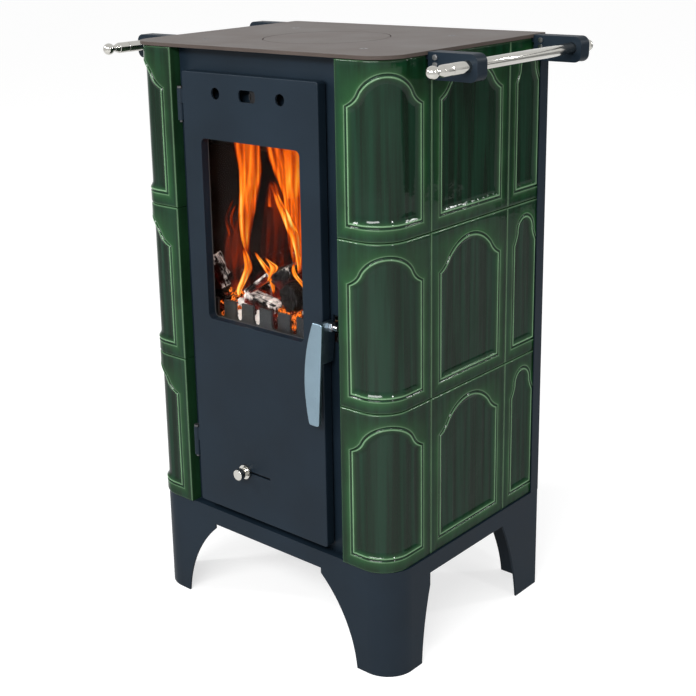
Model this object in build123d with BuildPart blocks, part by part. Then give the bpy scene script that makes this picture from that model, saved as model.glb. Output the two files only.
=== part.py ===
from build123d import *
import math
import os

os.makedirs("parts", exist_ok=True)

# Tiled wood stove. Millimetres: X runs across the stove, -Y is its front and Z is up.
# The origin is on the floor under the middle of the whole stove.

# ----------------------------------------------------------------------------------------------
# Driving dimensions
# ----------------------------------------------------------------------------------------------

# Body, measured over the glazed faces
body_width = 480.0
body_depth = 385.0
corner_radius = 45.0
flue_reach = 35.0            # spigot beyond the rear of the body
knob_reach = 20.0            # air knob in front of the glazed face
sheet = 2.0                  # rear panel and uprights
cover_gap = 0.3              # between a loose cover and what it covers

# Base
leg_height = 139.0           # floor to the skirt's lower edge
skirt_height = 27.0
base_sheet = 3.0
deck_thickness = 4.0
base_front_inset = 5.0
base_rear_radius = 4.0
arch_half_span = 110.0       # straight part of the front and rear arches
arch_drop = 8.0
foot_half_gap = 177.0        # half the gap between two feet
leg_sag = 14.0
side_arch_start = 95.0       # depths from the glazed front
side_arch_end = 283.0
side_arch_drop = 19.0
front_foot_end = 75.0
rear_foot_start = 325.0
front_leg_sag = 3.5
rear_leg_sag = 6.7

# Tiles
tile_rows = 3
tile_height = 238.6
tile_joint = 0.8
tile_depth = 25.0
tile_bed = 0.3               # between a tile's back and the casing
tile_face = 9.0              # thickness of the glazed face over the hollow back
tile_rim = 10.0
tile_edge_radius = 3.0
front_gap_half = 156.0       # half the opening between the corner tiles
corner_seam = 99.0           # depths of the vertical joints from the glazed front
side_seam = 285.0

# Arched relief on every tile
relief_bottom = 22.0
relief_shoulder = 177.0
relief_spring = 195.0
relief_peak = 217.5
relief_spring_share = 0.704  # of the panel's half width
shoulder_sag = 1.0
corner_relief_half = 49.5    # seen along the corner's diagonal
corner_relief_shift = 5.0
side_relief_half = 71.0
side_relief_middle = 192.0
half_relief_half = 28.0
half_relief_middle = 333.0
bead_inner = 2.0
bead_outer = 1.5
groove_width = 2.0
groove_depth = 1.2
field_depth = 2.5

# Tile clips
clip_sheet = 2.0
clip_foot = 16.0
clip_height = 30.0
clip_leg = 12.0

# Fire casing
casing_sheet = 4.0
casing_rear = 372.0          # depth of its rear face from the glazed front
casing_rear_radius = 6.0
ash_floor = 30.0             # heights above the deck
shelf_top = 280.0
lug_length = 76.0
lug_width = 24.0
lug_thickness = 8.0

# Front panel
panel_thickness = 5.0
panel_side_gap = 0.4
fire_opening_bottom = 296.0
fire_opening_height = 324.0
fire_opening_half = 113.5
ash_opening_bottom = 34.0
ash_opening_height = 228.0
ash_opening_half = 106.0
opening_radius = 6.0
catch_window_margin = 10.0

# Rear
upright_cover = 20.0
upright_leg = 44.0
rear_panel_half = 238.0
rear_screw_x = 218.0
rear_screw_pitch = 300.0
rear_screw_rows = 3
rear_screw_radius = 2.4
rear_screw_head_radius = 4.6
rear_screw_head = 2.4
screw_play = 0.05

# Top plate and lid
plate_half_width = 244.0
plate_front_overhang = 2.0
plate_rear = 373.0
plate_rear_radius = 5.0
plate_thickness = 5.0
plate_seat = 0.6
lid_depth = 169.0            # lid centre from the glazed front
lid_radius = 92.6
lid_gap = 1.4
lid_seat = 0.3
ledge_radius = 84.0
ledge_width = 18.0
ledge_thickness = 5.0
plate_screw_x = 151.0
plate_screw_front = 69.0
plate_screw_pitch = 200.0
plate_screw_radius = 3.0
plate_screw_head_radius = 6.0
plate_screw_length = 12.0
plate_screw_socket = 2.0

# Rails, their finials and brackets
rail_x = 305.0
rail_drop = 17.0             # rail axis under the top plate's face
rail_radius = 8.0
rail_wall = 1.5
rail_ball_front = 12.0
rail_ball_rear = 381.0
finial_length = 37.0         # ball centre to the tube's end
ball_radius = 8.8
neck_radius = 4.6
neck_at = 10.5
flare_at = 19.0
flare_groove = 0.8
plug_length = 14.0
plug_play = 0.05
bracket_front = 96.0
bracket_rear = 349.0
bracket_width = 22.0
bracket_wall = 2.0
bracket_root = 244.3
bracket_end_margin = 16.0
bracket_end_wall = 5.0
bracket_drop = 1.0
bracket_height = 36.0
bracket_corner = 11.0
tongue_thickness = 6.0
tongue_play = 0.3
tongue_leg_length = 22.0
tongue_leg_bottom = 23.0
bracket_screw_x = 256.0
bracket_screw_high = 7.8
bracket_screw_low = 17.5
bracket_screw_radius = 2.0
bracket_screw_head_radius = 3.6
bracket_screw_head = 2.0

# Firebricks, baffle, hearth and grate
brick_thickness = 25.0
brick_play = 0.7
brick_front = 45.0
brick_height = 266.0
brick_joint = 0.5
baffle_thickness = 20.0
baffle_front = 110.0
hearth_thickness = 10.0
grate_width = 212.0
grate_length = 172.0
grate_depth = 190.0
grate_ledge = 6.0
grate_play = 0.5
grate_slots = 9
grate_slot_width = 9.0
grate_slot_pitch = 20.0
grate_slot_margin = 14.0

# Log fender
fender_depth = 40.0
fender_half = 124.0
fender_height = 46.0
fender_sheet = 4.0
fender_foot = 18.0
notch_pitch = 37.0
notch_count = 7
notch_width = 13.0
notch_bottom = 18.0

# Ash pan
pan_half = 95.0
pan_front = 42.0
pan_rear = 320.0
pan_height = 86.0
pan_sheet = 2.0
pan_radius = 4.0
pull_width = 90.0
pull_reach = 12.0
pull_height = 16.0

# Flue collar
flue_height = 640.0
flue_radius = 60.0
flue_wall = 3.0
flue_flange_radius = 75.0
flue_flange = 3.0
flue_hole_gap = 2.0

# Door
door_middle = -2.0
door_width = 260.0
door_bottom = 13.0
door_height = 672.0
door_gap = 4.0               # rear edge of the door to the front panel
door_sheet = 3.0
door_corner = 4.0
door_edge_radius = 1.5
window_half = 95.0
window_bottom = 318.0
window_height = 272.0
window_radius = 8.0
window_return = 13.0
seal_width = 12.0
seal_height = 12.0
seal_gap = 0.3
seal_corner = 6.0
liner_top = 300.0
liner_sheet = 3.0

# Glass and its fixing
gasket_thickness = 1.5
gasket_width = 7.0
glass_thickness = 4.0
glass_cover = 12.0           # glass beyond the window on every side
glass_radius = 5.0
glass_clip_sheet = 1.5
glass_clip_width = 20.0
glass_clip_gap = 0.2
glass_clip_toe = 6.0
glass_clip_heel = 3.5        # foot on the window's side of its stud
side_clip_pitch = 160.0
stud_radius = 2.0
stud_length = 5.0
stud_inset = 4.3             # stud axis beyond the window return
nut_radius = 3.9
nut_height = 3.2

# Air-wash vents and their slide
vent_height = 643.0          # above the door's lower edge
vent_pitch = 62.0
vent_radius = 8.5
vent_slot_width = 32.0
vent_slot_radius = 5.5
wash_slide_half = 88.0
wash_slide_height = 22.0
wash_slide_sheet = 1.5
wash_slide_travel = 18.0
wash_tab_margin = 1.0        # tab to the slot's end, with the slide shut
wash_window_margin = 3.0     # slide window past the left end of the slot
slide_play = 0.3
guide_sheet = 1.5
guide_lip = 3.5
guide_lip_x = 46.0           # lips either side of the door's middle line
wash_tab_half = 4.0

# Primary air slide and knob
knob_x = -31.0
knob_height = 88.0
knob_travel = 45.0
knob_collar_radius = 11.0
knob_collar = 4.5
knob_stem_radius = 6.5
knob_head_radius = 8.5
knob_head = 9.0
knob_face_gap = 0.3
knob_edge = 1.5
shank_width = 8.0
shank_height = 2.8
shank_play = 0.35
air_port_radius = 11.0
air_port_pitch = 90.0
air_port_middle = -12.0
air_slide_half = 65.0
air_slide_height = 34.0
air_slide_sheet = 2.0
intake_width = 40.0
intake_slots = 3
intake_pitch = 60.0
intake_depth = 6.0

# Door hinges
hinge_x = -141.0
hinge_depth = 5.0
hinge_bottoms = (85.0, 612.0)
knuckle_radius = 5.2
frame_knuckle = 25.0
door_knuckle = 21.0
knuckle_gap = 0.3
pin_radius = 3.0
pin_play = 0.05
pin_tail = 3.0
pin_head = 3.0
pin_head_radius = 4.6
hinge_arm = 5.0

# Latch
latch_depth = 8.0            # pivot axis behind the glazed face
latch_height = 348.0
latch_pin_radius = 4.0
latch_boss_radius = 7.0
latch_side_gap = 3.0
hook_sheet = 5.0
hook_side_play = 0.3
latch_nut_radius = 6.5
latch_nut = 5.0
latch_pin_end = 150.0
blade_thickness = 5.5
blade_gap = 11.5             # blade's rear face in front of the door
blade_rise = 10.0            # blade outline, from the pivot axis and the hook's left face
blade_length = 152.0
blade_top_left = 7.0
blade_top_right = 10.0
blade_low_left = 17.0
blade_low_right = 0.5
blade_belly = 24.0
blade_belly_drop = 73.0
blade_corner = 4.0
blade_edge = 1.5
hook_top = 9.0               # offsets from the pivot axis
hook_bottom = 50.0
hook_reach = 26.0
hook_arm_drop = 8.0
hook_arm_rise = 4.0
hook_nose = 4.5
hook_body_rear = 6.0
hook_lower_rear = 9.0
hook_shoulder = 4.0          # lower corner under the arm
hook_taper = 5.0
catch_thickness = 3.5
catch_play = 0.5
catch_half = 9.0
catch_height = 14.0
slot_side_room = 3.5
slot_top_room = 5.0
slot_bottom_room = 18.0

# ----------------------------------------------------------------------------------------------
# Shared places, worked out from the values above
# ----------------------------------------------------------------------------------------------

front = (knob_reach - body_depth - flue_reach) / 2
rear = front + body_depth
half_width = body_width / 2
corner_x = half_width - corner_radius
corner_y = front + corner_radius
deck_top = leg_height + skirt_height
tile_pitch = tile_height + tile_joint
tile_top = deck_top + tile_rows * tile_pitch - tile_joint
plate_bottom = tile_top + plate_seat
plate_top = plate_bottom + plate_thickness

half_tile_end = body_depth - 2 * sheet - cover_gap
casing_half = half_width - tile_depth - tile_bed
casing_front = front + tile_depth
casing_back = front + casing_rear
casing_radius = corner_radius - tile_depth - tile_bed
inner_half = casing_half - casing_sheet
inner_front = casing_front + casing_sheet
inner_back = casing_back - casing_sheet
casing_corner_x = casing_half - casing_radius
panel_front = casing_front - panel_thickness
shelf_z = deck_top + shelf_top
hearth_z = shelf_z + hearth_thickness
brick_top = hearth_z + brick_height

door_depth = panel_front - door_gap - front
door_left = door_middle - door_width / 2
door_right = door_middle + door_width / 2
door_low = deck_top + door_bottom
door_mid_z = door_low + door_height / 2
door_back = front + door_depth
window_mid_z = deck_top + window_bottom + window_height / 2
seal_inset = door_sheet
rib_inset = door_sheet + seal_width
gasket_front = front + window_return
glass_front = gasket_front + gasket_thickness
glass_back = glass_front + glass_thickness
vent_z = door_low + vent_height
knob_z = deck_top + knob_height

lid_y = front + lid_depth
rail_z = plate_top - rail_drop
bracket_top = plate_top - bracket_drop
bracket_ys = (front + bracket_front, front + bracket_rear)
bracket_end = rail_x + bracket_end_margin
tongue_front = -bracket_width / 2 + bracket_wall

hook_left = door_right + latch_side_gap
hook_right = hook_left + hook_sheet
latch_y = front + latch_depth
latch_z = deck_top + latch_height
hook_nose_top = latch_z + hook_top
catch_bottom = hook_nose_top + catch_play
sides = (("left", -1), ("right", 1))
rows = ("bottom", "middle", "top")


# ----------------------------------------------------------------------------------------------
# Helpers
# ----------------------------------------------------------------------------------------------

def front_view(y):
    """Plane facing the front at y: sketch X is across, sketch Y is up, and it extrudes forwards."""
    return Plane.XZ.offset(-y)


def side_view(x):
    """Plane facing the right at x: sketch X runs to the rear, sketch Y is up."""
    return Plane.YZ.offset(x)


def plan(z):
    """Horizontal plane at height z."""
    return Plane.XY.offset(z)


def block(x_range, y_range, z_range, mode=Mode.ADD):
    """Box between two corners, given as its ranges along X, Y and Z."""
    ranges = (x_range, y_range, z_range)
    with Locations(tuple((low + high) / 2 for low, high in ranges)):
        Box(*(high - low for low, high in ranges), mode=mode)


def body_plan(half, front_y, rear_y, front_radius, rear_radius):
    """Plan outline of the base, casing and top plate: round front corners, squarer rear ones."""
    with Locations((0, (front_y + rear_y) / 2)):
        Rectangle(2 * half, rear_y - front_y)
    fillet(vertices().group_by(Axis.Y)[0], front_radius)
    fillet(vertices().group_by(Axis.Y)[-1], rear_radius)


def door_frame(inset, middle_x=door_middle, width=door_width, middle_z=door_mid_z,
               height=door_height, radius=0.0):
    """Rectangle inset from the door's outline, on a front view plane."""
    with Locations((middle_x, middle_z)):
        if radius > 0:
            RectangleRounded(width - 2 * inset, height - 2 * inset, radius)
        else:
            Rectangle(width - 2 * inset, height - 2 * inset)


def relief_outline(half, middle, low, grow=0.0, mode=Mode.ADD):
    """Arched panel outline with shoulders, over a tile's lower edge at low, grown outwards."""
    spring = half * relief_spring_share
    turn = 2 * math.atan2(relief_peak - relief_spring, spring)
    slope = math.atan2(relief_spring - relief_shoulder, half - spring)
    edge = half + grow
    bottom = low + relief_bottom - grow
    shoulder = low + relief_shoulder + grow * (1 - math.sin(slope)) / math.cos(slope)
    spring_x = spring + grow * math.sin(turn)
    spring_z = low + relief_spring + grow * math.cos(turn)
    with BuildLine() as outline:
        Polyline((middle + edge, shoulder), (middle + edge, bottom), (middle - edge, bottom),
                 (middle - edge, shoulder))
        SagittaArc((middle - edge, shoulder), (middle - spring_x, spring_z), -shoulder_sag)
        ThreePointArc((middle - spring_x, spring_z), (middle, low + relief_peak + grow),
                      (middle + spring_x, spring_z))
        SagittaArc((middle + spring_x, spring_z), (middle + edge, shoulder), -shoulder_sag)
    make_face(outline.edges(), mode=mode)


def field_outline(half, middle, low):
    """Sunk field of the arched panel, inside the bead."""
    relief_outline(half, middle, low, -bead_inner)


def groove_outline(half, middle, low):
    """Narrow groove just outside the raised bead of the arched panel."""
    relief_outline(half, middle, low, bead_outer + groove_width)
    relief_outline(half, middle, low, bead_outer, Mode.SUBTRACT)


# ----------------------------------------------------------------------------------------------
# Base: skirt, four legs and the deck
# ----------------------------------------------------------------------------------------------

base_half = half_width + cover_gap + sheet
base_front = front + base_front_inset

with BuildPart() as base:
    with BuildSketch():
        body_plan(base_half, base_front, rear, corner_radius, base_rear_radius)
    extrude(amount=deck_top)
    with BuildSketch():
        body_plan(base_half - base_sheet, base_front + base_sheet, rear - base_sheet,
                  corner_radius - base_sheet, base_rear_radius - base_sheet)
    extrude(amount=deck_top - deck_thickness, mode=Mode.SUBTRACT)
    with BuildSketch(Plane.XZ):
        with BuildLine():
            Polyline((-foot_half_gap, 0), (foot_half_gap, 0))
            SagittaArc((foot_half_gap, 0), (arch_half_span, leg_height - arch_drop), -leg_sag)
            Polyline((arch_half_span, leg_height - arch_drop), (arch_half_span, leg_height),
                     (-arch_half_span, leg_height), (-arch_half_span, leg_height - arch_drop))
            SagittaArc((-arch_half_span, leg_height - arch_drop), (-foot_half_gap, 0), -leg_sag)
        make_face()
    extrude(amount=body_depth, both=True, mode=Mode.SUBTRACT)
    with BuildSketch(Plane.YZ):
        with BuildLine():
            Polyline((front + front_foot_end, 0), (front + rear_foot_start, 0))
            SagittaArc((front + rear_foot_start, 0), (front + side_arch_end, leg_height),
                       -rear_leg_sag)
            Polyline((front + side_arch_end, leg_height), (front + side_arch_start, leg_height),
                     (front + side_arch_start, leg_height - side_arch_drop))
            SagittaArc((front + side_arch_start, leg_height - side_arch_drop),
                       (front + front_foot_end, 0), -front_leg_sag)
        make_face()
    extrude(amount=body_width, both=True, mode=Mode.SUBTRACT)
base.part.label = "base_frame"
export_step(base.part, "parts/base_frame.step")

# ----------------------------------------------------------------------------------------------
# Tiles: three rows of corner, side and half tiles on each side
# ----------------------------------------------------------------------------------------------


def tongue_notches(side):
    """Notches in the top row's upper edge, where the rail tongues pass over the tiles."""
    for y in bracket_ys:
        block(sorted((side * (casing_half - 1), side * (half_width + 1))),
              (y + tongue_front - tongue_play, y - tongue_front + tongue_play),
              (plate_bottom - tongue_thickness - tongue_play, plate_top), Mode.SUBTRACT)


def corner_band(side, outer, inner, trim=0.0):
    """Plan of the corner tile between two depths under its glaze, trimmed at both ends."""
    start = front_gap_half + trim
    end = front + corner_seam - tile_joint / 2 - trim
    outer_r = corner_radius - outer
    inner_r = corner_radius - inner
    diagonal = math.sqrt(0.5)
    with BuildLine() as band:
        Line((side * start, front + outer), (side * corner_x, front + outer))
        ThreePointArc((side * corner_x, front + outer),
                      (side * (corner_x + outer_r * diagonal), corner_y - outer_r * diagonal),
                      (side * (corner_x + outer_r), corner_y))
        Polyline((side * (corner_x + outer_r), corner_y), (side * (corner_x + outer_r), end),
                 (side * (corner_x + inner_r), end), (side * (corner_x + inner_r), corner_y))
        ThreePointArc((side * (corner_x + inner_r), corner_y),
                      (side * (corner_x + inner_r * diagonal), corner_y - inner_r * diagonal),
                      (side * corner_x, front + inner))
        Polyline((side * corner_x, front + inner), (side * start, front + inner),
                 (side * start, front + outer))
    make_face(band.edges())


def on_corner_glaze(edge, side):
    """True for an edge that bounds the corner tile's glazed face."""
    middle = edge @ 0.5
    across = side * middle.X
    if across > corner_x and middle.Y < corner_y:
        radius = math.hypot(across - corner_x, middle.Y - corner_y)
        return radius > corner_radius - 0.1
    return middle.Y < front + 0.1 or across > half_width - 0.1


def corner_relief(side, base_z, depth, outline):
    """Solid that cuts the arched outline into the corner's glaze, as deep all the way round."""
    facing = Plane(origin=(side * corner_x, corner_y, base_z), x_dir=(1, side, 0),
                   z_dir=(side, -1, 0))
    with BuildPart() as cutter:
        with BuildSketch(plan(base_z)):
            corner_band(side, 0, depth)
        extrude(amount=tile_height)
        with BuildSketch(facing):
            outline(corner_relief_half, side * corner_relief_shift, 0)
        extrude(amount=2 * corner_radius, both=True, mode=Mode.INTERSECT)
    return cutter.part


for side_name, side in sides:
    for row, row_name in enumerate(rows):
        base_z = deck_top + row * tile_pitch
        with BuildPart() as tile:
            with BuildSketch(plan(base_z)):
                corner_band(side, 0, tile_depth)
            extrude(amount=tile_height)
            fillet(edges().filter_by(lambda edge: on_corner_glaze(edge, side))
                   .filter_by(lambda edge: abs((edge @ 0.5).Z - base_z - tile_height / 2) > 1
                              or (edge @ 0.5).Y > corner_y + 1
                              or side * (edge @ 0.5).X < corner_x - 1), tile_edge_radius)
            with BuildSketch(plan(base_z + tile_rim)):
                corner_band(side, tile_face, tile_depth, tile_rim)
            extrude(amount=tile_height - 2 * tile_rim, mode=Mode.SUBTRACT)
            add(corner_relief(side, base_z, field_depth, field_outline), mode=Mode.SUBTRACT)
            add(corner_relief(side, base_z, groove_depth, groove_outline), mode=Mode.SUBTRACT)
            if row == tile_rows - 1:
                tongue_notches(side)
        tile.part.label = f"{side_name}_corner_tile_{row_name}"
        export_step(tile.part, f"parts/{side_name}_corner_tile_{row_name}.step")


def flat_tile(side, row, start, end, middle, relief_half):
    """Flat tile on one side of the stove, between two depths from the glazed front."""
    base_z = deck_top + row * tile_pitch
    with BuildPart() as tile:
        with BuildSketch(side_view(side * half_width)):
            with Locations((front + (start + end) / 2, base_z + tile_height / 2)):
                Rectangle(end - start, tile_height)
        extrude(amount=-side * tile_depth)
        fillet(faces().sort_by(Axis.X)[0 if side < 0 else -1].edges(), tile_edge_radius)
        block(sorted((side * (half_width - tile_face), side * (half_width - tile_depth - 1))),
              (front + start + tile_rim, front + end - tile_rim),
              (base_z + tile_rim, base_z + tile_height - tile_rim), Mode.SUBTRACT)
        for depth, outline in ((field_depth, field_outline), (groove_depth, groove_outline)):
            with BuildSketch(side_view(side * half_width)):
                outline(relief_half, front + middle, base_z)
            extrude(amount=-side * depth, mode=Mode.SUBTRACT)
        if row == tile_rows - 1:
            tongue_notches(side)
    return tile.part


flat_tiles = (("side", corner_seam + tile_joint / 2, side_seam - tile_joint / 2,
               side_relief_middle, side_relief_half),
              ("half", side_seam + tile_joint / 2, half_tile_end,
               half_relief_middle, half_relief_half))

for side_name, side in sides:
    for row, row_name in enumerate(rows):
        for kind, start, end, middle, relief_half in flat_tiles:
            tile = flat_tile(side, row, start, end, middle, relief_half)
            tile.label = f"{side_name}_{kind}_tile_{row_name}"
            export_step(tile, f"parts/{side_name}_{kind}_tile_{row_name}.step")

# Clips on the casing that hold each tile by the inside of its rim
with BuildPart() as tile_clips:
    for _, side in sides:
        for row in range(tile_rows):
            mid_z = deck_top + row * tile_pitch + tile_height / 2
            z_range = (mid_z - clip_height / 2, mid_z + clip_height / 2)
            rim_y = front + corner_seam - tile_joint / 2 - tile_rim - cover_gap
            block(sorted((side * casing_half, side * (casing_half + clip_sheet))),
                  (rim_y - clip_foot, rim_y), z_range)
            block(sorted((side * casing_half, side * (casing_half + clip_leg))),
                  (rim_y - clip_sheet, rim_y), z_range)
            for _, start, _, _, _ in flat_tiles:
                rim_y = front + start + tile_rim + cover_gap
                block(sorted((side * casing_half, side * (casing_half + clip_sheet))),
                      (rim_y, rim_y + clip_foot), z_range)
                block(sorted((side * casing_half, side * (casing_half + clip_leg))),
                      (rim_y, rim_y + clip_sheet), z_range)
tile_clips.part.label = "tile_clips"
export_step(tile_clips.part, "parts/tile_clips.step")

# ----------------------------------------------------------------------------------------------
# Fire casing: bent shell with lugs for the top plate, front plate, ash floor and hearth shelf
# ----------------------------------------------------------------------------------------------

plate_screws = [(x, front + plate_screw_front + y)
                for x in (-plate_screw_x, plate_screw_x) for y in (0, plate_screw_pitch)]
grate_y = front + grate_depth
grate_inner_width = grate_width - 2 * grate_ledge
grate_inner_length = grate_length - 2 * grate_ledge
catch_window = (hook_left - catch_window_margin / 2, hook_right + slot_side_room
                + catch_window_margin / 2)

with BuildPart() as casing_shell:
    with BuildSketch(plan(deck_top)):
        body_plan(casing_half, casing_front, casing_back, casing_radius, casing_rear_radius)
    extrude(amount=plate_bottom - deck_top)
    with BuildSketch(plan(deck_top)):
        body_plan(inner_half, inner_front, inner_back, casing_radius - casing_sheet,
                  casing_rear_radius - casing_sheet)
    extrude(amount=plate_bottom - deck_top, mode=Mode.SUBTRACT)
    block((-casing_corner_x, casing_corner_x), (casing_front - 1, inner_front + 1),
          (deck_top, plate_bottom), Mode.SUBTRACT)
    with BuildSketch(front_view(casing_back + 1)):
        with Locations((0, deck_top + flue_height)):
            Circle(flue_radius - flue_wall)
    extrude(amount=casing_sheet + 2, mode=Mode.SUBTRACT)
    for x, y in plate_screws:
        side = math.copysign(1, x)
        block(sorted((side * (inner_half + 1), side * (inner_half - lug_length))),
              (y - lug_width / 2, y + lug_width / 2),
              (plate_bottom - lug_thickness, plate_bottom))
    with Locations(*[(x, y, plate_bottom) for x, y in plate_screws]):
        Cylinder(plate_screw_radius + screw_play, 2 * lug_thickness + 1, mode=Mode.SUBTRACT)
casing_shell.part.label = "casing_shell"
export_step(casing_shell.part, "parts/casing_shell.step")

with BuildPart() as casing_front_plate:
    block((-casing_corner_x, casing_corner_x), (casing_front, inner_front),
          (deck_top, plate_bottom))
    with BuildSketch(front_view(inner_front)):
        for middle_z, height, half in (
                (deck_top + fire_opening_bottom + fire_opening_height / 2, fire_opening_height,
                 fire_opening_half),
                (deck_top + ash_opening_bottom + ash_opening_height / 2, ash_opening_height,
                 ash_opening_half)):
            door_frame(0, width=2 * half, middle_z=middle_z, height=height,
                       radius=opening_radius)
    extrude(amount=casing_sheet, mode=Mode.SUBTRACT)
    block(catch_window, (casing_front - 1, inner_front + 1),
          (latch_z - hook_arm_drop - slot_bottom_room - catch_window_margin / 2,
           catch_bottom + catch_height + 1), Mode.SUBTRACT)
casing_front_plate.part.label = "casing_front"
export_step(casing_front_plate.part, "parts/casing_front.step")

with BuildPart() as casing_floors:
    for top in (deck_top + ash_floor + casing_sheet, shelf_z):
        with BuildSketch(plan(top)):
            body_plan(inner_half, inner_front, inner_back, casing_radius, casing_rear_radius)
        extrude(amount=-casing_sheet)
    block((-grate_inner_width / 2, grate_inner_width / 2),
          (grate_y - grate_inner_length / 2, grate_y + grate_inner_length / 2),
          (shelf_z - 2 * casing_sheet, shelf_z + 1), Mode.SUBTRACT)
casing_floors.part.label = "casing_floors"
export_step(casing_floors.part, "parts/casing_floors.step")

# Front panel between the corner tiles, with the fire and ash openings and the latch slot
slot_left = hook_left - 1.0
slot_right = hook_right + slot_side_room
slot_low = latch_z - hook_arm_drop - slot_bottom_room
slot_high = hook_nose_top + slot_top_room

with BuildPart() as front_panel:
    block((-front_gap_half + panel_side_gap, front_gap_half - panel_side_gap),
          (panel_front, casing_front), (deck_top, tile_top))
    with BuildSketch(front_view(casing_front)):
        for middle_z, height, half in (
                (deck_top + fire_opening_bottom + fire_opening_height / 2, fire_opening_height,
                 fire_opening_half),
                (deck_top + ash_opening_bottom + ash_opening_height / 2, ash_opening_height,
                 ash_opening_half)):
            door_frame(0, width=2 * half, middle_z=middle_z, height=height,
                       radius=opening_radius)
    extrude(amount=panel_thickness, mode=Mode.SUBTRACT)
    block((slot_left, slot_right), (panel_front - 1, casing_front + 1), (slot_low, slot_high),
          Mode.SUBTRACT)
front_panel.part.label = "front_panel"
export_step(front_panel.part, "parts/front_panel.step")

# Catch behind the front panel: the latch's nose hooks up behind its lower edge
with BuildPart() as latch_catch:
    catch_middle = (hook_left + hook_right) / 2 + slot_side_room / 2
    block((catch_middle - catch_half, catch_middle + catch_half),
          (casing_front, casing_front + catch_thickness),
          (catch_bottom, catch_bottom + catch_height))
latch_catch.part.label = "latch_catch"
export_step(latch_catch.part, "parts/latch_catch.step")

# ----------------------------------------------------------------------------------------------
# Rear: uprights over the half tiles' edges, heat-shield panel and its screws
# ----------------------------------------------------------------------------------------------

upright_back = rear - sheet
rear_screws_at = [(side * rear_screw_x, deck_top + (tile_top - deck_top) / 2
                   + (row - (rear_screw_rows - 1) / 2) * rear_screw_pitch)
                  for _, side in sides for row in range(rear_screw_rows)]

for side_name, side in sides:
    with BuildPart() as upright:
        outer = half_width + cover_gap + sheet
        block(sorted((side * (half_width + cover_gap), side * outer)),
              (upright_back - upright_cover, upright_back), (deck_top, tile_top))
        block(sorted((side * (outer - upright_leg), side * outer)),
              (upright_back - sheet, upright_back), (deck_top, tile_top))
        with BuildSketch(front_view(upright_back + 1)):
            with Locations(*[at for at in rear_screws_at if at[0] * side > 0]):
                Circle(rear_screw_radius + screw_play)
        extrude(amount=sheet + 2, mode=Mode.SUBTRACT)
    upright.part.label = f"{side_name}_upright"
    export_step(upright.part, f"parts/{side_name}_upright.step")

with BuildPart() as rear_panel:
    block((-rear_panel_half, rear_panel_half), (upright_back, rear), (deck_top, tile_top))
    with BuildSketch(front_view(rear + 1)):
        with Locations((0, deck_top + flue_height)):
            Circle(flue_radius + flue_hole_gap)
        with Locations(*rear_screws_at):
            Circle(rear_screw_radius + screw_play)
    extrude(amount=sheet + 2, mode=Mode.SUBTRACT)
rear_panel.part.label = "rear_panel"
export_step(rear_panel.part, "parts/rear_panel.step")

with BuildPart() as rear_screws:
    with BuildSketch(front_view(rear)):
        with Locations(*rear_screws_at):
            Circle(rear_screw_radius)
    extrude(amount=2 * sheet)
    with BuildSketch(front_view(rear)):
        with Locations(*rear_screws_at):
            Circle(rear_screw_head_radius)
    extrude(amount=-rear_screw_head)
rear_screws.part.label = "rear_panel_screws"
export_step(rear_screws.part, "parts/rear_panel_screws.step")

with BuildPart() as flue:
    with BuildSketch(front_view(rear + flue_reach)):
        with Locations((0, deck_top + flue_height)):
            Circle(flue_radius)
    extrude(amount=rear + flue_reach - casing_back)
    with BuildSketch(front_view(casing_back + flue_flange)):
        with Locations((0, deck_top + flue_height)):
            Circle(flue_flange_radius)
    extrude(amount=flue_flange)
    with BuildSketch(front_view(rear + flue_reach)):
        with Locations((0, deck_top + flue_height)):
            Circle(flue_radius - flue_wall)
    extrude(amount=rear + flue_reach - casing_back, mode=Mode.SUBTRACT)
flue.part.label = "flue_collar"
export_step(flue.part, "parts/flue_collar.step")

# ----------------------------------------------------------------------------------------------
# Top plate, lid and screws
# ----------------------------------------------------------------------------------------------

with BuildPart() as top_plate:
    with BuildSketch(plan(plate_bottom)):
        body_plan(plate_half_width, front - plate_front_overhang, front + plate_rear,
                  corner_radius, plate_rear_radius)
    extrude(amount=plate_thickness)
    with Locations((0, lid_y, plate_bottom)):
        Cylinder(ledge_radius + ledge_width, ledge_thickness,
                 align=(Align.CENTER, Align.CENTER, Align.MAX))
        Cylinder(ledge_radius, 3 * plate_thickness, mode=Mode.SUBTRACT)
    with Locations((0, lid_y, plate_bottom)):
        Cylinder(lid_radius + lid_gap, plate_thickness + 1,
                 align=(Align.CENTER, Align.CENTER, Align.MIN), mode=Mode.SUBTRACT)
    with Locations(*[(x, y, plate_top) for x, y in plate_screws]):
        CounterSinkHole(plate_screw_radius + screw_play, plate_screw_head_radius + screw_play)
top_plate.part.label = "top_plate"
export_step(top_plate.part, "parts/top_plate.step")

with BuildPart() as top_lid:
    with BuildSketch(plan(plate_bottom + lid_seat)):
        with Locations((0, lid_y)):
            Circle(lid_radius)
    extrude(amount=plate_thickness - lid_seat)
    chamfer(edges().group_by(Axis.Z)[-1], lid_seat)
top_lid.part.label = "top_lid"
export_step(top_lid.part, "parts/top_lid.step")

with BuildPart() as plate_screw_set:
    with Locations(*[(x, y, plate_top) for x, y in plate_screws]):
        Cone(plate_screw_radius, plate_screw_head_radius,
             plate_screw_head_radius - plate_screw_radius,
             align=(Align.CENTER, Align.CENTER, Align.MAX))
        Cylinder(plate_screw_radius, plate_screw_length,
                 align=(Align.CENTER, Align.CENTER, Align.MAX))
    with BuildSketch(plan(plate_top)):
        with Locations(*plate_screws):
            RegularPolygon(plate_screw_socket, 6)
    extrude(amount=-plate_screw_socket, mode=Mode.SUBTRACT)
plate_screw_set.part.label = "top_plate_screws"
export_step(plate_screw_set.part, "parts/top_plate_screws.step")

# ----------------------------------------------------------------------------------------------
# Rails: tubes, turned finials, channel brackets, tongues and screws
# ----------------------------------------------------------------------------------------------

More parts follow.
